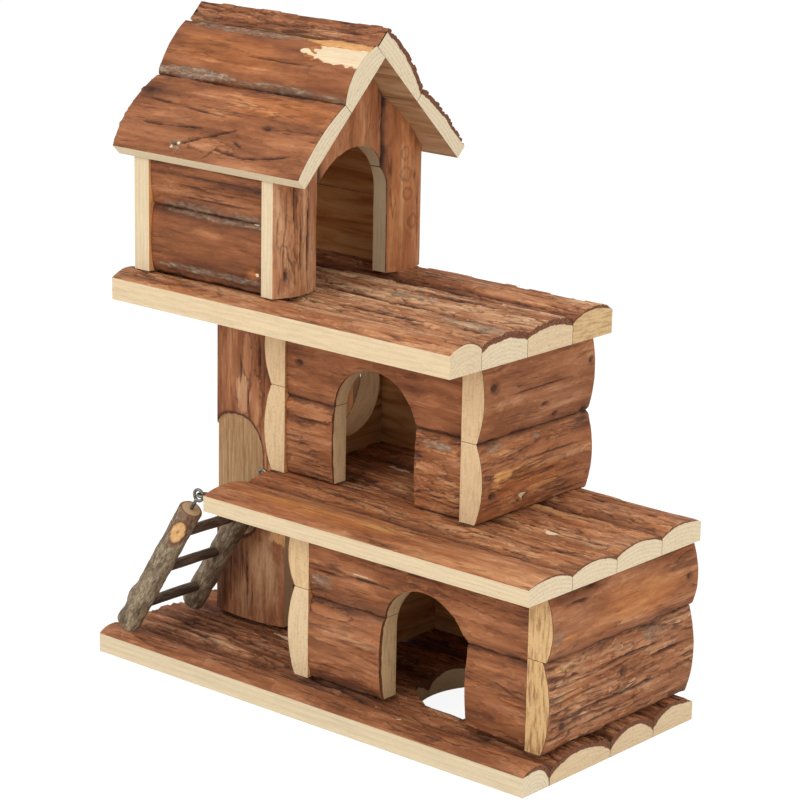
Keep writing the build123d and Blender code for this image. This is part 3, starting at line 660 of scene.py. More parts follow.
    def dress(self, mesh):
        """Smooth bark, flat saw cuts with sharp edges, and what the materials read at each point."""
        back = self.matrix.inverted()
        edge_rims = [closed_rim if seam < open_seam else self.rim[1] for seam in self.seams]
        grain, looks, hues, sawn = [], [], [], []
        for vert in mesh.vertices:
            u, v, w = back @ vert.co
            s = v
            if self.wrapped and v > self.width - 1.5 and w < self.far_edge - 0.5:
                s = self.width + self.far_edge - 0.5 - w
            _, _, look, hue = self.surface(u, s)
            t = min(1.0, max(0.0, v / self.width))
            rim = self.rim[0] + (edge_rims[t > 0.5] - self.rim[0]) * abs(2 * t - 1) ** 2.5
            grain += (u + 61 * self.seed, v - self.pith[0], w - self.pith[1])
            looks += look
            hues += hue
            sawn += (self.bark_radius, rim, self.aged)
        named = {"grain": grain, "bark_look": looks, "bark_hue": hues, "sawn_look": sawn}
        for name, values in named.items():
            mesh.attributes.new(name, "FLOAT_VECTOR", "POINT").data.foreach_set("vector", values)
        sides = {}
        for face in mesh.polygons:
            face.use_smooth = face.material_index == bark_face
            for key in face.edge_keys:
                sides.setdefault(key, set()).add(face.material_index)
        for edge in mesh.edges:
            edge.use_edge_sharp = sides.get(edge.key, {bark_face}) != {bark_face}


def carve(piece, cutter):
    """Cuts one closed mesh out of a piece, and keeps the result as its mesh."""
    modifier = piece.modifiers.new("carve", "BOOLEAN")
    modifier.operation = "DIFFERENCE"
    modifier.solver = "EXACT"
    modifier.object = cutter
    bpy.context.view_layer.update()
    carved = bpy.data.meshes.new_from_object(piece.evaluated_get(bpy.context.evaluated_depsgraph_get()))
    piece.modifiers.clear()
    piece.data = carved


def cutter_from(bm, name):
    """Hidden cutter whose faces leave sawn wood."""
    mesh = bpy.data.meshes.new(name)
    for face in bm.faces:
        face.material_index = sawn_face
    bm.to_mesh(mesh)
    bm.free()
    for material in slab_materials:
        mesh.materials.append(material)
    cutter = bpy.data.objects.new(name, mesh)
    scene.collection.objects.link(cutter)
    cutter.hide_render = True
    return cutter


drill_depth = 40.0
saw_depth = 36.0
under_floor = 2.0


def hole_cutter(name, centre, axis, radius):
    """Round drill."""
    bm = bmesh.new()
    turn = Vector(axis).to_track_quat("Z", "Y").to_matrix().to_4x4()
    bmesh.ops.create_cone(bm, cap_ends=True, segments=96, radius1=radius * MM, radius2=radius * MM,
                          depth=drill_depth * MM, matrix=Matrix.Translation(Vector(centre) * MM) @ turn)
    return cutter_from(bm, name)


def door_cutter(name, centre, floor, width, height, axis):
    """Door with straight sides under a half circle, cut through a wall along X or Y."""
    bm = bmesh.new()
    radius = width / 2
    spring = height - radius
    first = bm.verts.new((-radius, 0, -under_floor))
    second = bm.verts.new((radius, 0, -under_floor))
    edges = [bm.edges.new((first, second))]
    corner = bm.verts.new((radius, 0, spring))
    edges.append(bm.edges.new((second, corner)))
    arc = bmesh.ops.spin(bm, geom=[corner], cent=(0, 0, spring), axis=(0, -1, 0), angle=pi, steps=48)
    last = [g for g in arc["geom_last"] if isinstance(g, bmesh.types.BMVert)][0]
    bm.edges.new((last, first))
    face = bmesh.ops.contextual_create(bm, geom=bm.edges[:])["faces"]
    wall = bmesh.ops.extrude_face_region(bm, geom=face)
    moved = [g for g in wall["geom"] if isinstance(g, bmesh.types.BMVert)]
    bmesh.ops.translate(bm, verts=moved, vec=(0, saw_depth, 0))
    bmesh.ops.translate(bm, verts=bm.verts, vec=(0, -saw_depth / 2, 0))
    bmesh.ops.recalc_face_normals(bm, faces=bm.faces)
    turn = Matrix.Rotation(radians(90), 4, "Z") if axis == "X" else Matrix.Identity(4)
    place = Matrix.Translation(Vector((centre[0], centre[1], floor)))
    bm.transform(Matrix.Scale(MM, 4) @ place @ turn)
    return cutter_from(bm, name)


cutters = []
base_edge = 8.2
floor_hole_radius = 35.0
floor_hole_place = (58.6, 4.0, 6.0)
floor_hole = hole_cutter("floor_hole_cutter", floor_hole_place, (0, 0, 1), floor_hole_radius)
cutters.append(floor_hole)
base_slabs = (
    ("base_slab_1", [], 9.2, dict(
        seed=1.3, aged=0.05, rugged=0.9, tone=0.52, warm=-0.3, seams=(0.3, 1.2), marks=(
            ("crack", 145, 14.8, 42, 1.1), ("crack", 108, 11.5, 18, 0.9), ("crack", 78, 10.2, 24, 0.9),
            ("crack", 38, 14.5, 26, 1.0), ("chip", 175, 9, 1.3, 0.8), ("dark", 150, 16, 60, 2.4)))),
    ("base_slab_2", [floor_hole], base_edge, dict(
        seed=2.7, aged=0.6, rugged=1.5, tone=0.49, warm=-0.7, marks=(
            ("bare", 66, 36, 5, 1.4), ("crack", 34, 4.5, 34, 0.9), ("crack", 30, 10.5, 31, 1.1),
            ("crack", 40, 16, 42, 1.0),
            ("crack", 28, 21.5, 29, 1.2), ("crack", 44, 27, 46, 1.0), ("crack", 26, 33, 28, 1.1),
            ("crack", 40, 38, 40, 0.8),
            ("pale", 20, 13, 18, 1.6), ("pale", 26, 24, 20, 1.5), ("pale", 60, 8, 30, 1.4)))),
    ("base_slab_3_left", [floor_hole], base_edge, dict(
        seed=4.1, aged=0.6, rugged=1.5, tone=0.50, warm=-0.6, marks=(
            ("crack", 30, 8, 30, 1.0), ("crack", 24, 15, 26, 1.0), ("crack", 30, 22, 30, 1.0)))),
    ("base_slab_3_right", [floor_hole], base_edge, dict(
        seed=5.2, aged=0.6, rugged=1.2, tone=0.47, warm=-0.2, marks=(("grey", 18, 6, 5, 3),))),
    ("base_slab_4", [floor_hole], base_edge, dict(
        seed=6.6, aged=0.6, rugged=1.2, tone=0.47, warm=-0.2, lift=0.6, seams=(1.0, 0.3))),
)
for node, holes, near_edge, look in base_slabs:
    Slab(node, (1, 0, 0), (0, 1, 0), near_edge, base_edge, rim=(2.4, 4.5), **look).build(holes)

# Ground room. Each wall is two slabs stacked on edge with the bark outwards, glued and nailed.
# The side walls run from front to back, and the front wall has an arched door.
ground_floor = 12.0
ground_door = door_cutter("ground_door_cutter", centre=(55.0, -37.0), floor=ground_floor, width=48.0,
                          height=55.8, axis="Y")
cutters.append(ground_door)
wall_ways = {"left": ((0, -1, 0), (0, 0, 1)), "right": ((0, 1, 0), (0, 0, 1)),
             "front": ((1, 0, 0), (0, 0, 1)), "rear": ((-1, 0, 0), (0, 0, 1))}
ground_side_edge = 9.0
ground_front_edge = 8.7
ground_slabs = (
    ("ground_left_wall_lower", "left", ground_side_edge, [], dict(seed=7.7, aged=0.7)),
    ("ground_left_wall_upper", "left", ground_side_edge, [], dict(seed=8.4, aged=1.0)),
    ("ground_right_wall_lower", "right", ground_side_edge, [], dict(
        seed=9.1, rugged=1.1, tone=0.57, warm=-0.5, aged=1.6, back=pale_back, marks=(
            ("knot", 51, 24, 2.2, 2.6), ("crust", 74, 36, 8, 3.4), ("knot", 10, 11, 3.0, 2.4),
            ("inner", 11, 36, 7, 1.2), ("crack", 50, 15, 44, 0.8), ("crack", 60, 31, 30, 0.7),
            ("warm", 18, 24, 12, 4), ("pale", 66, 14, 24, 2.0),
            ("plate", 35, 34, 22, 3.2), ("crack", 35, 8, 30, 0.8), ("crack", 84, 26, 18, 0.8)))),
    ("ground_right_wall_upper", "right", ground_side_edge + 1.2, [], dict(
        far_edge=ground_side_edge, seed=10.3, rugged=0.65, tone=0.55, warm=-0.1, aged=1.5, lift=0.6,
        back=pale_back, marks=(
            ("crack", 18, 23, 9, 1.0), ("crack", 27, 27, 8, 0.8), ("knot", 96, 15, 2.0, 1.6),
            ("crust", 4, 11, 3.5, 4.5),
            ("inner", 12, 9, 6, 1.0), ("warm", 60, 14, 30, 9), ("dark", 20, 26, 18, 5)))),
    ("ground_front_wall_lower_left", "front", ground_front_edge, [ground_door], dict(
        seed=11.2, rugged=0.7, tone=0.50, warm=-0.1, aged=1.1, rim=(2.3, 2.0), lift=1.1, marks=(
            ("crack", 9, 36.4, 9, 0.8), ("crack", 20, 34.4, 5, 0.7), ("pale", 25, 24, 17, 1.4),
            ("plate", 12, 34, 12, 3.0), ("dark", 20, 4, 22, 4.0)))),
    ("ground_front_wall_lower_right", "front", ground_front_edge, [ground_door], dict(
        seed=12.6, rugged=0.8, tone=0.47, aged=1.1, rim=(2.3, 2.0), lift=1.1)),
    ("ground_front_wall_upper", "front", ground_front_edge, [ground_door], dict(
        seed=13.4, rugged=0.8, tone=0.48, aged=1.1, rim=(2.3, 2.0), lift=0.9, marks=(
            ("crust", 8, 9.0, 7.5, 3.2), ("grey", 5.0, 10.4, 3.6, 1.3), ("grey", 9.5, 7.6, 3.2, 1.1),
            ("crack", 10, 13.6, 12, 0.7), ("crack", 35, 15.2, 17, 0.7),
            ("pale", 28, 16.8, 10, 0.8), ("chip", 30, 16.8, 5.0, 0.3), ("crack", 60, 24, 34, 0.5)))),
    ("ground_rear_wall_lower", "rear", ground_side_edge, [], dict(seed=14.8)),
    ("ground_rear_wall_upper", "rear", ground_side_edge, [], dict(seed=15.5)),
)
for node, side, edge, holes, look in ground_slabs:
    Slab(node, *wall_ways[side], edge, **look).build(holes)

# Middle board. Four half-round slabs lie side by side on the ground room's walls, flat side down and
# with their bark on. Brads driven up through them hold the middle room.
mid_edge = 7.7
mid_board = (
    ("mid_slab_1", dict(seed=16.3, rugged=0.7, tone=0.62, seams=(0.3, 1.2), marks=(
        ("crack", 120, 25, 44, 1.0), ("warm", 60, 12, 50, 5), ("dark", 130, 26, 50, 2.6)))),
    ("mid_slab_2", dict(seed=17.9, rugged=1.2, tone=0.59, seams=(1.0, 0.6), marks=(
        ("crack", 150, 12, 26, 0.9), ("pale", 120, 8, 40, 1.6), ("dark", 28, 19, 32, 4.0),
        ("crack", 26, 19, 26, 1.6), ("crust", 30, 22.5, 26, 1.4), ("crack", 60, 8, 44, 1.1)))),
    ("mid_slab_3", dict(seed=18.4, rugged=1.2, tone=0.59, seams=(0.6, 1.0), lift=0.7, marks=(
        ("chip", 147, 2.4, 4.0, 1.2), ("bare", 40, 26, 9, 1.6)))),
    ("mid_slab_4", dict(seed=19.8, rugged=1.3, tone=0.58, seams=(1.0, 0.3), lift=1.5)),
)
for node, look in mid_board:
    Slab(node, (1, 0, 0), (0, 1, 0), mid_edge, rim=(1.0, 1.7), aged=0.25, **look).build()

# Middle room. It is built as the ground room is, of two slabs to a wall with the bark outwards. Its
# front wall has an arched door, and its left wall a round hole sawn through both slabs.
mid_floor = 93.0
mid_door = door_cutter("mid_door_cutter", centre=(2.3, -12.0), floor=mid_floor, width=48.0, height=56.8,
                       axis="Y")
wall_hole = hole_cutter("wall_hole_cutter", centre=(-49.2, 26.0, 123.0), axis=(1, 0, 0), radius=21.5)
cutters += [mid_door, wall_hole]
mid_left_edge = 9.0
mid_right_edge = 7.5
mid_front_edge = 8.7
mid_rear_edge = 8.5
mid_slabs = (
    ("mid_left_wall_lower", "left", mid_left_edge, [wall_hole], dict(seed=20.7)),
    ("mid_left_wall_upper", "left", mid_left_edge, [wall_hole], dict(seed=21.4)),
    ("mid_right_wall_lower", "right", mid_right_edge, [], dict(
        seed=22.9, rugged=0.95, tone=0.54, warm=0.1, lift=1.8, back=pale_back, marks=(
            ("pale_knot", 27.5, 7.5, 3.6, 3.2), ("knot", 7, 12, 2.2, 1.8), ("inner", 15, 20, 7, 2.0),
            ("warm", 30, 16, 26, 6), ("grey", 39, 32.5, 2.4, 1.3), ("grey", 9, 33, 5, 1.4),
            ("crack", 50, 24, 26, 0.7), ("pale", 50, 20, 24, 1.6)))),
    ("mid_right_wall_upper", "right", mid_right_edge, [], dict(
        seed=23.3, rugged=0.7, tone=0.52, warm=-0.2, lift=1.8, back=pale_back, marks=(
            ("pale", 40, 16, 30, 1.4), ("pale", 50, 8, 26, 1.2), ("crack", 40, 19, 30, 0.5),
            ("knot", 7, 24, 2.6, 2.2), ("knot", 42, 10.5, 2.4, 1.0), ("knot", 51, 4, 1.6, 1.2),
            ("knot", 74, 24, 1.6, 2.0), ("knot", 72, 1.5, 2.4, 1.6)))),
    ("mid_front_wall_lower_left", "front", mid_front_edge, [mid_door], dict(
        seed=24.6, rugged=0.8, tone=0.50, rim=(1.5, 1.5), marks=(
            ("plate", 12, 31, 16, 3.4), ("crack", 13, 27, 15, 0.7)))),
    ("mid_front_wall_lower_right", "front", mid_front_edge, [mid_door], dict(
        seed=25.2, rugged=1.2, tone=0.51, rim=(1.5, 1.5), marks=(
            ("grey", 12, 31, 8, 2.0), ("plate", 10, 20, 8, 3.0), ("plate", 19, 14, 7, 2.4)))),
    ("mid_front_wall_upper", "front", mid_front_edge, [mid_door], dict(
        seed=26.7, rugged=0.7, tone=0.44, rim=(1.5, 1.5), marks=(("knot", 8, 17, 2.2, 1.6),))),
    ("mid_rear_wall_lower", "rear", mid_rear_edge, [], dict(seed=27.1)),
    ("mid_rear_wall_upper", "rear", mid_rear_edge, [], dict(seed=28.8)),
)
for node, side, edge, holes, look in mid_slabs:
    Slab(node, *wall_ways[side], edge, aged=0.9, **look).build(holes)

# Top board. Four thicker half-round slabs with their bark on lie side by side on the middle room and
# the two support slabs, and carry the top house.
top_edge = 10.4
top_board = (
    ("top_slab_1", dict(seed=29.4, rugged=1.0, tone=0.61, seams=(0.3, 1.2), rim=(0.7, 1.0), marks=(
        ("crack", 130, 16, 60, 1.1), ("pale", 130, 11, 50, 1.2), ("pale", 60, 8, 30, 1.4)))),
    ("top_slab_2", dict(seed=30.6, rugged=1.5, tone=0.65, warm=-0.2, rim=(3.2, 2.6), aged=0.25, marks=(
        ("grey", 180, 15.5, 22, 2.4), ("pale", 178, 15.5, 26, 3.6), ("crack", 166, 20.5, 27, 1.8),
        ("crack", 183, 10.5, 16, 1.5), ("crack", 110, 26.5, 50, 1.8), ("crack", 70, 14, 50, 1.1),
        ("pale", 96, 20, 44, 2.2), ("crack", 142, 8, 30, 1.6), ("dark", 160, 28, 50, 2.6)))),
    ("top_slab_3", dict(seed=31.1, rugged=1.5, tone=0.66, warm=-0.5, rim=(3.0, 2.0), aged=0.6, marks=(
        ("crack", 140, 16, 50, 1.8), ("pale", 130, 6, 60, 3.6), ("pale", 90, 18, 50, 2.4),
        ("crack", 150, 22, 50, 1.2),
        ("crack", 120, 1.5, 50, 1.3), ("grey", 128, 8, 14, 2.0)))),
    ("top_slab_4", dict(
        seed=32.5, rugged=1.3, tone=0.61, warm=-0.15, seams=(1.0, 0.3), rim=(1.5, 1.8), aged=1.3,
        lift=0.7, marks=(
            ("crack", 120, 12, 80, 1.1), ("crack", 150, 3, 60, 1.0), ("dark", 120, 2, 90, 3.0)))),
)
for node, look in top_board:
    Slab(node, (1, 0, 0), (0, 1, 0), top_edge, **look).build()

# Top house. Its gables are three upright slabs each, with their tops sawn to the roof, and the
# right gable has the door. The side walls are two slabs each, laid lengthways between the gables.
gable_ways = {"right": ((0, 0, 1), (0, -1, 0)), "left": ((0, 0, 1), (0, 1, 0))}
apex = Vector(((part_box("right_gable_middle")[0].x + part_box("right_gable_middle")[1].x) / 2,
               (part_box("left_gable_front")[0].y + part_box("left_gable_rear")[1].y) / 2,
               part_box("left_gable_middle")[1].z))
roof_pitch = radians(45.0)
front_out = Vector((0, -sin(roof_pitch), cos(roof_pitch)))
rear_out = Vector((0, sin(roof_pitch), cos(roof_pitch)))
roof_planes = ((apex, front_out), (apex, rear_out))
house_floor = 181.5
house_door = door_cutter("house_door_cutter", centre=(-37.0, 4.0), floor=house_floor, width=46.0,
                         height=60.8, axis="X")
cutters.append(house_door)
right_gable_edge = 7.0
left_gable_edge = 8.3
gable_slabs = (
    ("right_gable_front", "right", right_gable_edge, [house_door], dict(
        seed=33.7, rugged=0.8, tone=0.68, warm=-0.2, seams=(1.0, 0.3), marks=(
            ("knot", 9.5, 22.6, 3.0, 1.4), ("crack", 40, 18.5, 14, 0.9), ("crack", 26, 10, 30, 1.0),
            ("crack", 22, 15, 20, 0.8),
            ("pale", 26, 12.6, 28, 1.0)))),
    ("right_gable_middle", "right", right_gable_edge, [house_door], dict(
        seed=34.8, rugged=0.6, tone=0.60, seams=(1.9, 1.0))),
    ("right_gable_rear", "right", right_gable_edge, [house_door], dict(
        seed=35.9, rugged=0.5, tone=0.60, warm=0.4, seams=(0.3, 1.9), marks=(
            ("loop", 53.6, 15.8, 2.8, 2.4), ("loop", 44, 15, 3.0, 3.2), ("loop", 35, 14, 2.6, 2.8),
            ("loop", 22, 10, 3.0, 3.0), ("knot", 42.7, 9.3, 2.4, 0.6), ("crack", 30, 5.5, 28, 0.6),
            ("pale", 34, 17.5, 30, 0.9)))),
    ("left_gable_front", "left", left_gable_edge, [], dict(seed=37.2, lift=1.2, seams=(0.3, 1.0))),
    ("left_gable_middle", "left", left_gable_edge, [], dict(seed=38.3)),
    ("left_gable_rear", "left", left_gable_edge, [], dict(seed=39.4, seams=(1.0, 0.3))),
)
for node, side, edge, holes, look in gable_slabs:
    Slab(node, *gable_ways[side], edge, aged=0.2, **look).build(holes, roof_planes)
house_side_edge = 7.2
house_walls = (
    ("house_front_wall_lower", "front", (), dict(seed=40.3, rugged=0.45, tone=0.34, warm=0.3, marks=(
        ("crust", 45, 29.5, 34, 1.6), ("inner", 62, 8, 3, 3), ("chip", 64.5, 8.6, 1.2, 0.8),
        ("crust", 40, 4.6, 40, 1.6),
        ("dark", 40, 4, 44, 3), ("chip", 63, 30.6, 1.6, 0.7), ("chip", 60, 33, 1.3, 0.6),
        ("pale", 34, 22, 30, 1.4)))),
    ("house_front_wall_upper", "front", roof_planes, dict(
        seed=41.9, rugged=0.7, tone=0.42, warm=0.2, marks=(
            ("crust", 40, 2.0, 34, 2.0), ("dark", 40, 15.5, 44, 1.6), ("crack", 36, 15.5, 30, 0.6),
            ("pale", 30, 8, 34, 1.6), ("crack", 40, 6, 30, 0.6)))),
    ("house_rear_wall_lower", "rear", (), dict(seed=42.4)),
    ("house_rear_wall_upper", "rear", roof_planes, dict(seed=43.6)),
)
for node, side, planes, look in house_walls:
    Slab(node, *wall_ways[side], house_side_edge, aged=0.2, **look).build((), planes)

# Roof. Two slabs lie on each slope, and the rear slope laps over the top edge of the front one.
# Its upper slab keeps the bark on that edge too, and the front one is worn to the wood at its end.
roof_lower_width = 41.0
ridge_lap = 7.5
eave_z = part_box("roof_front_lower")[0].z
slope_length = (apex.z - eave_z) / sin(roof_pitch) / MM
roof_left, roof_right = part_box("roof_front_lower")[0].x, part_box("roof_front_lower")[1].x
half_span = (apex.z - eave_z) / tan(roof_pitch)


def roof_slab(node, front, start, width, edge, far_edge, crest, planes=(), **look):
    """Slab laid on a slope, start mm up from the eave."""
    along = Vector((1, 0, 0)) if front else Vector((-1, 0, 0))
    across = Vector((0, cos(roof_pitch) * (1 if front else -1), sin(roof_pitch)))
    eave = Vector((roof_left if front else roof_right, apex.y - half_span * (1 if front else -1), eave_z))
    matrix = Matrix((along, across, along.cross(across))).transposed().to_4x4()
    matrix.translation = eave + across * start * MM
    sizes = (roof_right - roof_left, width * MM, crest * MM)
    Slab(node, along, across, edge, far_edge, aged=0.1, matrix=matrix, sizes=sizes, back=pale_back,
         **look).build((), planes)


crack_overlap = 3.0


def crack_path(half_width, *places):
    """Slanted cracks end to end through the places."""
    return [("crack", (u1 + u2) / 2, (v1 + v2) / 2, (u2 - u1) / 2 + crack_overlap, half_width,
             (v2 - v1) / (u2 - u1)) for (u1, v1), (u2, v2) in zip(places, places[1:])]


roof_slab("roof_front_lower", True, 0, roof_lower_width, edge=6.2, far_edge=6.2, crest=8.4, seed=44.2,
          rugged=0.65, tone=0.45, seams=(0.3, 0.8), chips=(0.6, -2.2, 1.2), marks=(
              ("grey", 36.4, 5.4, 3.8, 2.6), ("chip", 35.0, 4.4, 1.2, 0.7), ("chip", 38.2, 6.6, 1.1, 0.7),
              ("knot", 36.6, 5.8, 1.5, 1.0), ("knot", 82, 21, 2.6, 1.0), ("knot", 3.5, 31, 3.2, 1.5),
              ("dark", 4, 31, 9, 4),
              ("plate", 56, 8.0, 13, 3.2), *crack_path(1.2, (39, 6.8), (50, 11.2), (58, 14.6), (65, 17)),
              *crack_path(0.8, (9, 14.3), (26, 14.5), (50, 16.4)), *crack_path(0.6, (69, 11.5), (74, 9.5)),
              *crack_path(0.7, (2, 27.4), (25, 25.6), (58, 23)),
              *crack_path(0.8, (56, 3.2), (60, 6.6), (76, 5.3), (85, 6.3), (103, 10)),
              ("warm", 88, 32, 30, 6), ("pale", 62, 31, 14, 0.7), ("pale", 78, 29.5, 12, 0.6),
              ("pale", 36, 33, 10, 0.6)))
roof_slab("roof_front_upper", True, roof_lower_width, slope_length - roof_lower_width, edge=6.5,
          far_edge=9.0, crest=11.8, planes=((apex, rear_out),), seed=45.7, rugged=0.5, tone=0.42, warm=0.15,
          seams=(0.9, 1.0), chips=(0.2, 1.6, 0.6), marks=(
              ("grey", 24, 2.2, 27, 2.2), ("crust", 72, 1.4, 26, 1.4), ("crust", 108, 1.0, 10, 1.0),
              ("bare", 105, 20.6, 21.5, 5.2),
              ("chip", 79.5, 20.2, 2.4, 1.5), ("gold", 96, 27.2, 20, 2.1), ("crust", 43, 26.6, 34, 2.3),
              ("chip", 56, 28.6, 1.6, 0.7), ("warm", 40, 14, 30, 8), ("dip", 30, 30.4, 54, 2.0),
              ("pale", 30, 8.5, 12, 0.5), ("pale", 58, 8.0, 14, 0.5), ("crack", 70, 13, 26, 0.5)))
roof_slab("roof_rear_lower", False, 0, roof_lower_width, edge=6.2, far_edge=6.2, crest=8.4, seed=46.9,
          rugged=1.4, tone=0.48, rim=(2.7, 2.7), lift=0.8, seams=(0.3, 1.0))
roof_slab("roof_rear_upper", False, roof_lower_width, slope_length + ridge_lap - roof_lower_width,
          edge=6.5, far_edge=10.9, crest=11.2, seed=47.3, rugged=1.3, tone=0.45, warm=-0.2, rim=(2.4, 2.4),
          wrapped=True)

# Support slabs. Two upright slabs carry the left end of the top board from the base board up. The
# bark of the front one was cut away below in an arch, where a branch was trimmed.
# The dark marks along the front slab's left edge, at v 38 and 42, are painted shade on its shadow side.
Slab("support_slab_front", (0, 0, 1), (-1, 0, 0), edge=6.5, seed=48.4, rugged=0.6, tone=0.53,
     seams=(0.3, 0.3), marks=(
    ("pale", 109, 24, 10, 5.0), ("plate", 127, 21.2, 11, 2.9),
    ("plate", 109, 24, 9, 4.6), ("plate", 106, 16.5, 13, 3.8), ("dark", 128, 8, 16, 6),
    ("crack", 128, 14, 14, 0.9),
    ("crack", 107, 20.8, 10, 0.9), ("crack", 128, 8.5, 12, 0.8), ("crack", 120, 25.4, 12, 0.7),
    ("dark", 110, 42, 60, 2.4), ("stripped", 74, 27, 24, 15.5), ("warm", 72, 10, 8, 4),
    ("pale", 20, 14, 24, 18), ("gold", 46, 1.0, 6.5, 6.0),
    ("pale", 26, 10.5, 17, 7.0), ("crack", 20, 21, 20, 0.8),
    ("crack", 26, 32, 26, 0.7), ("dark", 20, 38, 26, 5))).build()
Slab("support_slab_rear", (0, 0, 1), (1, 0, 0), edge=5.5, seed=49.1, tone=0.45, seams=(0.3, 0.3)).build()
for cutter in cutters:
    bpy.data.objects.remove(cutter)

# Screw eyes and brads. The eyes are bent steel wire, turned into the middle board's end and the ladder's
# rails. The brads are driven up through the boards. All keep the CAD's own mesh, and look of dull zinc:
# grey metal with darker spots, which are drawn about 1 mm wide, coarser than real ones, so that they show.
spots_per_metre = 900.0
steel, tree = new_material("zinc_plated_wire")
coords = add_node(tree, "ShaderNodeTexCoord").outputs["Object"]
spots = add_node(tree, "ShaderNodeTexNoise", {"Vector": coords, "Scale": spots_per_metre, "Detail": 3.0})
shade = add_node(tree, "ShaderNodeValToRGB", {0: spots}, stops=[(0.3, "#4B4944"), (0.6, "#86857C")])
dull = add_node(tree, "ShaderNodeMapRange", {0: spots, 3: 0.3, 4: 0.5})
surface = add_node(tree, "ShaderNodeBsdfPrincipled", {"Base Color": shade, "Metallic": 1.0,
                   "Roughness": dull})
add_node(tree, "ShaderNodeOutputMaterial", {"Surface": surface})
for node in ("board_screw_eyes", "ladder_screw_eyes", "base_brads", "mid_brads", "top_brads"):
    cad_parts[node].data.materials.clear()
    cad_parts[node].data.materials.append(steel)

# Ladder. Two lengths of thin branch with their bark on are the rails, cut square at both ends, and
# three dark twigs are glued into them as rungs. It hangs from the linked screw eyes.
rail_red = "#7E4D34"
knot_rim = "#4E2E1C"


def branch_material(name, colours, blotch, blotch_share, streak_mm):
    """Thin bark of a young branch: matt, with fine ridges along it, pale pores and dark mottling.

    Ridges and pores are drawn up to 0.9 mm wide, coarser than real ones, so that they show.
    """
    material, tree = new_material(name)
    grain = add_node(tree, "ShaderNodeAttribute", attribute_name="grain").outputs["Vector"]
    look = add_node(tree, "ShaderNodeAttribute", attribute_name="branch_look").outputs["Vector"]
    cut, red, dark = add_node(tree, "ShaderNodeSeparateXYZ", {0: look}).outputs
    pattern = {}
    for kind, cell_mm, detail in (("ridges", (streak_mm, 0.9, 0.9), 5.0), ("blotches", (7.0, 3.0, 3.0), 5.0),
                                  ("broad", (22.0, 7.0, 7.0), 2.0), ("pores", (0.8, 0.6, 0.6), 2.0)):
        scaled = add_node(tree, "ShaderNodeMapping", {"Vector": grain, "Scale": [1 / mm for mm in cell_mm]})
        pattern[kind] = add_node(tree, "ShaderNodeTexNoise", {"Vector": scaled, "Scale": 1.0,
                                 "Detail": detail, "Roughness": 0.65, "Distortion": 0.3})
    tint = add_node(tree, "ShaderNodeMath", {0: pattern["broad"], 1: 0.6, 2: pattern["ridges"]},
                    operation="MULTIPLY_ADD")
    mottled = add_node(tree, "ShaderNodeMapRange", {0: pattern["blotches"], 1: 0.50, 2: 0.60, 3: 0.0,
                       4: blotch_share})
    pore_share = add_node(tree, "ShaderNodeMapRange", {0: pattern["pores"], 1: 0.64, 2: 0.72, 3: 0.0,
                          4: 0.5})
    fresh = add_node(tree, "ShaderNodeValToRGB", {0: pattern["ridges"]}, stops=[
        (0.3, "#CB955C"), (0.5, "#E0AE74"), (0.7, "#EAC490")])
    colour = add_node(tree, "ShaderNodeValToRGB", {0: tint}, stops=list(zip((0.66, 0.80, 0.94), colours)))
    for share, cover in ((mottled, blotch), (pore_share, colours[2]), (red, rail_red), (cut, fresh),
                         (dark, knot_rim)):
        colour = add_node(tree, "ShaderNodeMix", {0: share, 6: colour, 7: cover}, data_type="RGBA")
    bump = add_node(tree, "ShaderNodeBump", {"Height": pattern["ridges"], "Strength": 0.8,
                    "Distance": 0.0006})
    surface = add_node(tree, "ShaderNodeBsdfPrincipled", {"Base Color": colour,
                       "Roughness": 0.7, "Specular IOR Level": 0.3, "Normal": bump})
    add_node(tree, "ShaderNodeOutputMaterial", {"Surface": surface})
    return material


rail_bark = branch_material("young_branch_bark", ("#594834", "#84715A", "#AA987D"), "#514130", 0.5, 3.2)
twig_bark = branch_material("dark_twig_bark", ("#43362D", "#5A4A3D", "#77634F"), "#4A3B32", 0.4, 7.0)
rail_radius = 5.4
branch_ring_mm = 1.3

# The sawn ends of the branches look pale, with faint rings and a thin brown ring of bark outside.
rail_end, tree = new_material("sawn_branch_end")
grain = add_node(tree, "ShaderNodeAttribute", attribute_name="grain").outputs["Vector"]
rings = add_node(tree, "ShaderNodeTexWave", {"Vector": grain, "Scale": 2 * pi / (20 * branch_ring_mm),
                 "Distortion": 1.5, "Detail": 2.0}, wave_type="RINGS", rings_direction="X")
shade = add_node(tree, "ShaderNodeValToRGB", {0: rings.outputs[1]}, stops=[
    (0.2, "#CDB290"), (0.9, "#BFA07A")])
out = add_node(tree, "ShaderNodeVectorMath", {0: grain, 1: (0.0, 1.0, 1.0)}, operation="MULTIPLY")
radius = add_node(tree, "ShaderNodeVectorMath", {0: out}, operation="LENGTH")
bark_ring = add_node(tree, "ShaderNodeMapRange", {0: radius.outputs["Value"], 1: rail_radius - 0.7,
                     2: rail_radius - 0.4})
shade = add_node(tree, "ShaderNodeMix", {0: bark_ring, 6: shade, 7: "#7A5B3D"}, data_type="RGBA")
surface = add_node(tree, "ShaderNodeBsdfPrincipled", {"Base Color": shade, "Roughness": 0.7,
                   "Specular IOR Level": 0.3})
add_node(tree, "ShaderNodeOutputMaterial", {"Surface": surface})

hinge_x, hinge_z = -66.7, 87.6
ladder_lean = radians(32.2)
rail_down = Vector((-sin(ladder_lean), 0.0, -cos(ladder_lean)))
rail_front = Vector((0.0, -1.0, 0.0))
rail_top, rail_bottom = 9.5, 85.59
rung_radius = 2.4
rail_ys = {"front": -53.5, "rear": -11.5}
branch_step = 0.7
branch_sides = 56


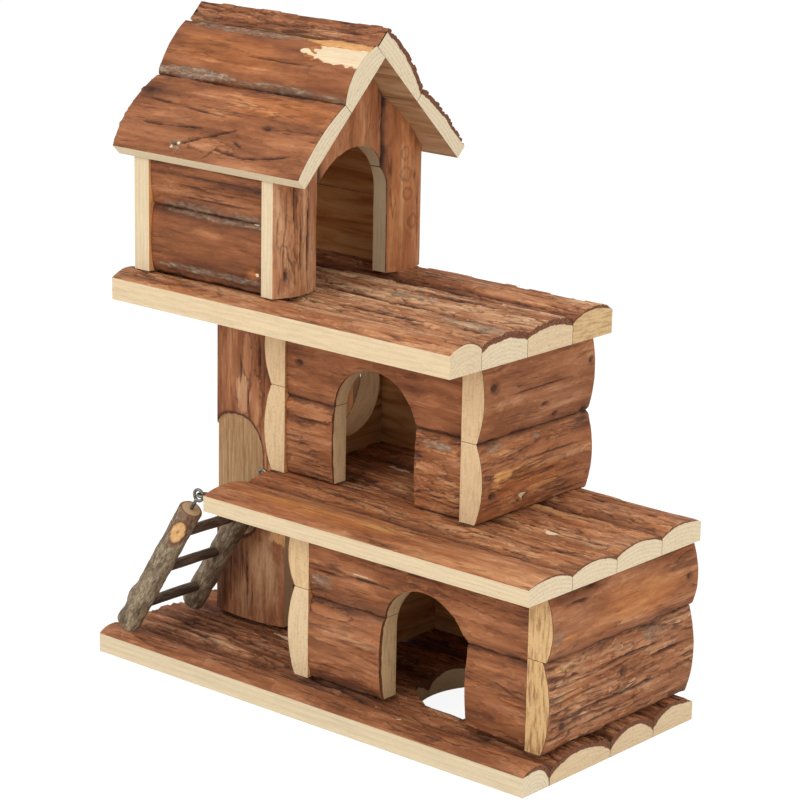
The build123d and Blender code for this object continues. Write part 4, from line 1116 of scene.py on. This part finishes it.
def branch(node, start, along, length, radius, seed, material, rough, knots=(), lumps=()):
    """Round stick from start along a direction, uneven in thickness.

    Knots are (along, angle, half length, half width), and lumps (along, angle, half length, height).
    """
    side = rail_front if abs(along.dot(rail_front)) < 0.5 else Vector((1.0, 0.0, 0.0))
    matrix = Matrix((along, side, along.cross(side))).transposed().to_4x4()
    matrix.translation = start
    bm = bmesh.new()
    bmesh.ops.create_grid(bm, x_segments=round(length / branch_step), y_segments=branch_sides, size=0.5)
    grain_layer = bm.verts.layers.float_vector.new("grain")
    look_layer = bm.verts.layers.float_vector.new("branch_look")
    for vert in bm.verts:
        x, angle = (vert.co.x + 0.5) * length, (vert.co.y + 0.5) * 2 * pi
        y, z = cos(angle), sin(angle)
        bark = noise.fractal((x / 5.5, y * radius / 2.2, z * radius / 2.2 + seed), 0.8, 2.0, 3)
        reach = radius * (1 + 0.06 * noise.noise((x / 16, y, z + seed))) + rough * bark
        cut, red, dark = 0.0, 0.0, 0.0
        for at, turn, half_length, height in lumps:
            off = (angle - turn + pi) % (2 * pi) - pi
            reach += height * (1 - ease(sqrt(((x - at) / half_length) ** 2 + (off / 1.1) ** 2), 0.0, 1.0))
        for at, turn, half_length, half_width in knots:
            off = (angle - turn + pi) % (2 * pi) - pi
            far = sqrt(((x - at) / half_length) ** 2 + (off * radius / half_width) ** 2)
            flat = 1 - ease(far, 0.9, 1.02)
            plane = radius * 0.93 / max(0.5, cos(off))
            reach = reach * (1 - flat) + plane * flat + 0.5 * max(0.0, 1 - abs(far - 1.1) / 0.22)
            cut = max(cut, flat)
            dark = max(dark, 0.7 * max(0.0, 1 - abs(far - 1.06) / 0.1), 0.6 * (1 - ease(far, 0.1, 0.22)))
            red = max(red, 0.75 * (1 - ease(far + 0.5 * bark, 1.2, 1.7)) * (1 - flat))
        end = min(x, length - x)
        reach -= 0.5 * max(0.0, 1 - end / 0.7) ** 2
        red = max(red, 0.4 * (1 - ease(x + 2 * bark, 2, 6)) * (radius > 4))
        vert[grain_layer] = (x + 31 * seed, y * radius, z * radius)
        vert[look_layer] = (cut, red, dark)
        vert.co = (x, y * reach, z * reach)
    bmesh.ops.remove_doubles(bm, verts=bm.verts, dist=1e-4)
    caps = bmesh.ops.edgeloop_fill(bm, edges=[e for e in bm.edges if e.is_boundary])["faces"]
    for face in bm.faces:
        face.smooth = True
    for face in caps:
        face.smooth, face.material_index = False, 1
        for edge in face.edges:
            edge.smooth = False
    bm.transform(Matrix.Scale(MM, 4) @ matrix)
    bmesh.ops.recalc_face_normals(bm, faces=bm.faces)
    mesh = bpy.data.meshes.new(node + "_branch")
    bm.to_mesh(mesh)
    bm.free()
    mesh.materials.append(material)
    mesh.materials.append(rail_end)
    piece = bpy.data.objects.new(node + "_branch", mesh)
    scene.collection.objects.link(piece)
    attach(piece, "ladder")
    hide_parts(node)


rail_knots = {"front": ((20.8 - rail_top, radians(-28), 6.4, 3.0),), "rear": ()}
rail_lumps = {"front": ((59.0, radians(62), 8.0, 1.4), (74.0, radians(60), 6.0, 0.7)), "rear": ()}
for side, seed in (("front", 3.1), ("rear", 5.7)):
    hinge = Vector((hinge_x, rail_ys[side], hinge_z))
    branch(f"ladder_rail_{side}", hinge + rail_down * rail_top, rail_down, rail_bottom - rail_top,
           rail_radius, seed, rail_bark, 0.3, knots=rail_knots[side], lumps=rail_lumps[side])
rung_inset = 3.0
rung_length = rail_ys["rear"] - rail_ys["front"] - 2 * rung_inset
for number, below in enumerate((26.0, 49.5, 73.0), 1):
    start = Vector((hinge_x, rail_ys["front"] + rung_inset, hinge_z)) + rail_down * below
    branch(f"ladder_rung_{number}", start, Vector((0.0, 1.0, 0.0)), rung_length, rung_radius,
           7.0 + number, twig_bark, 0.07)
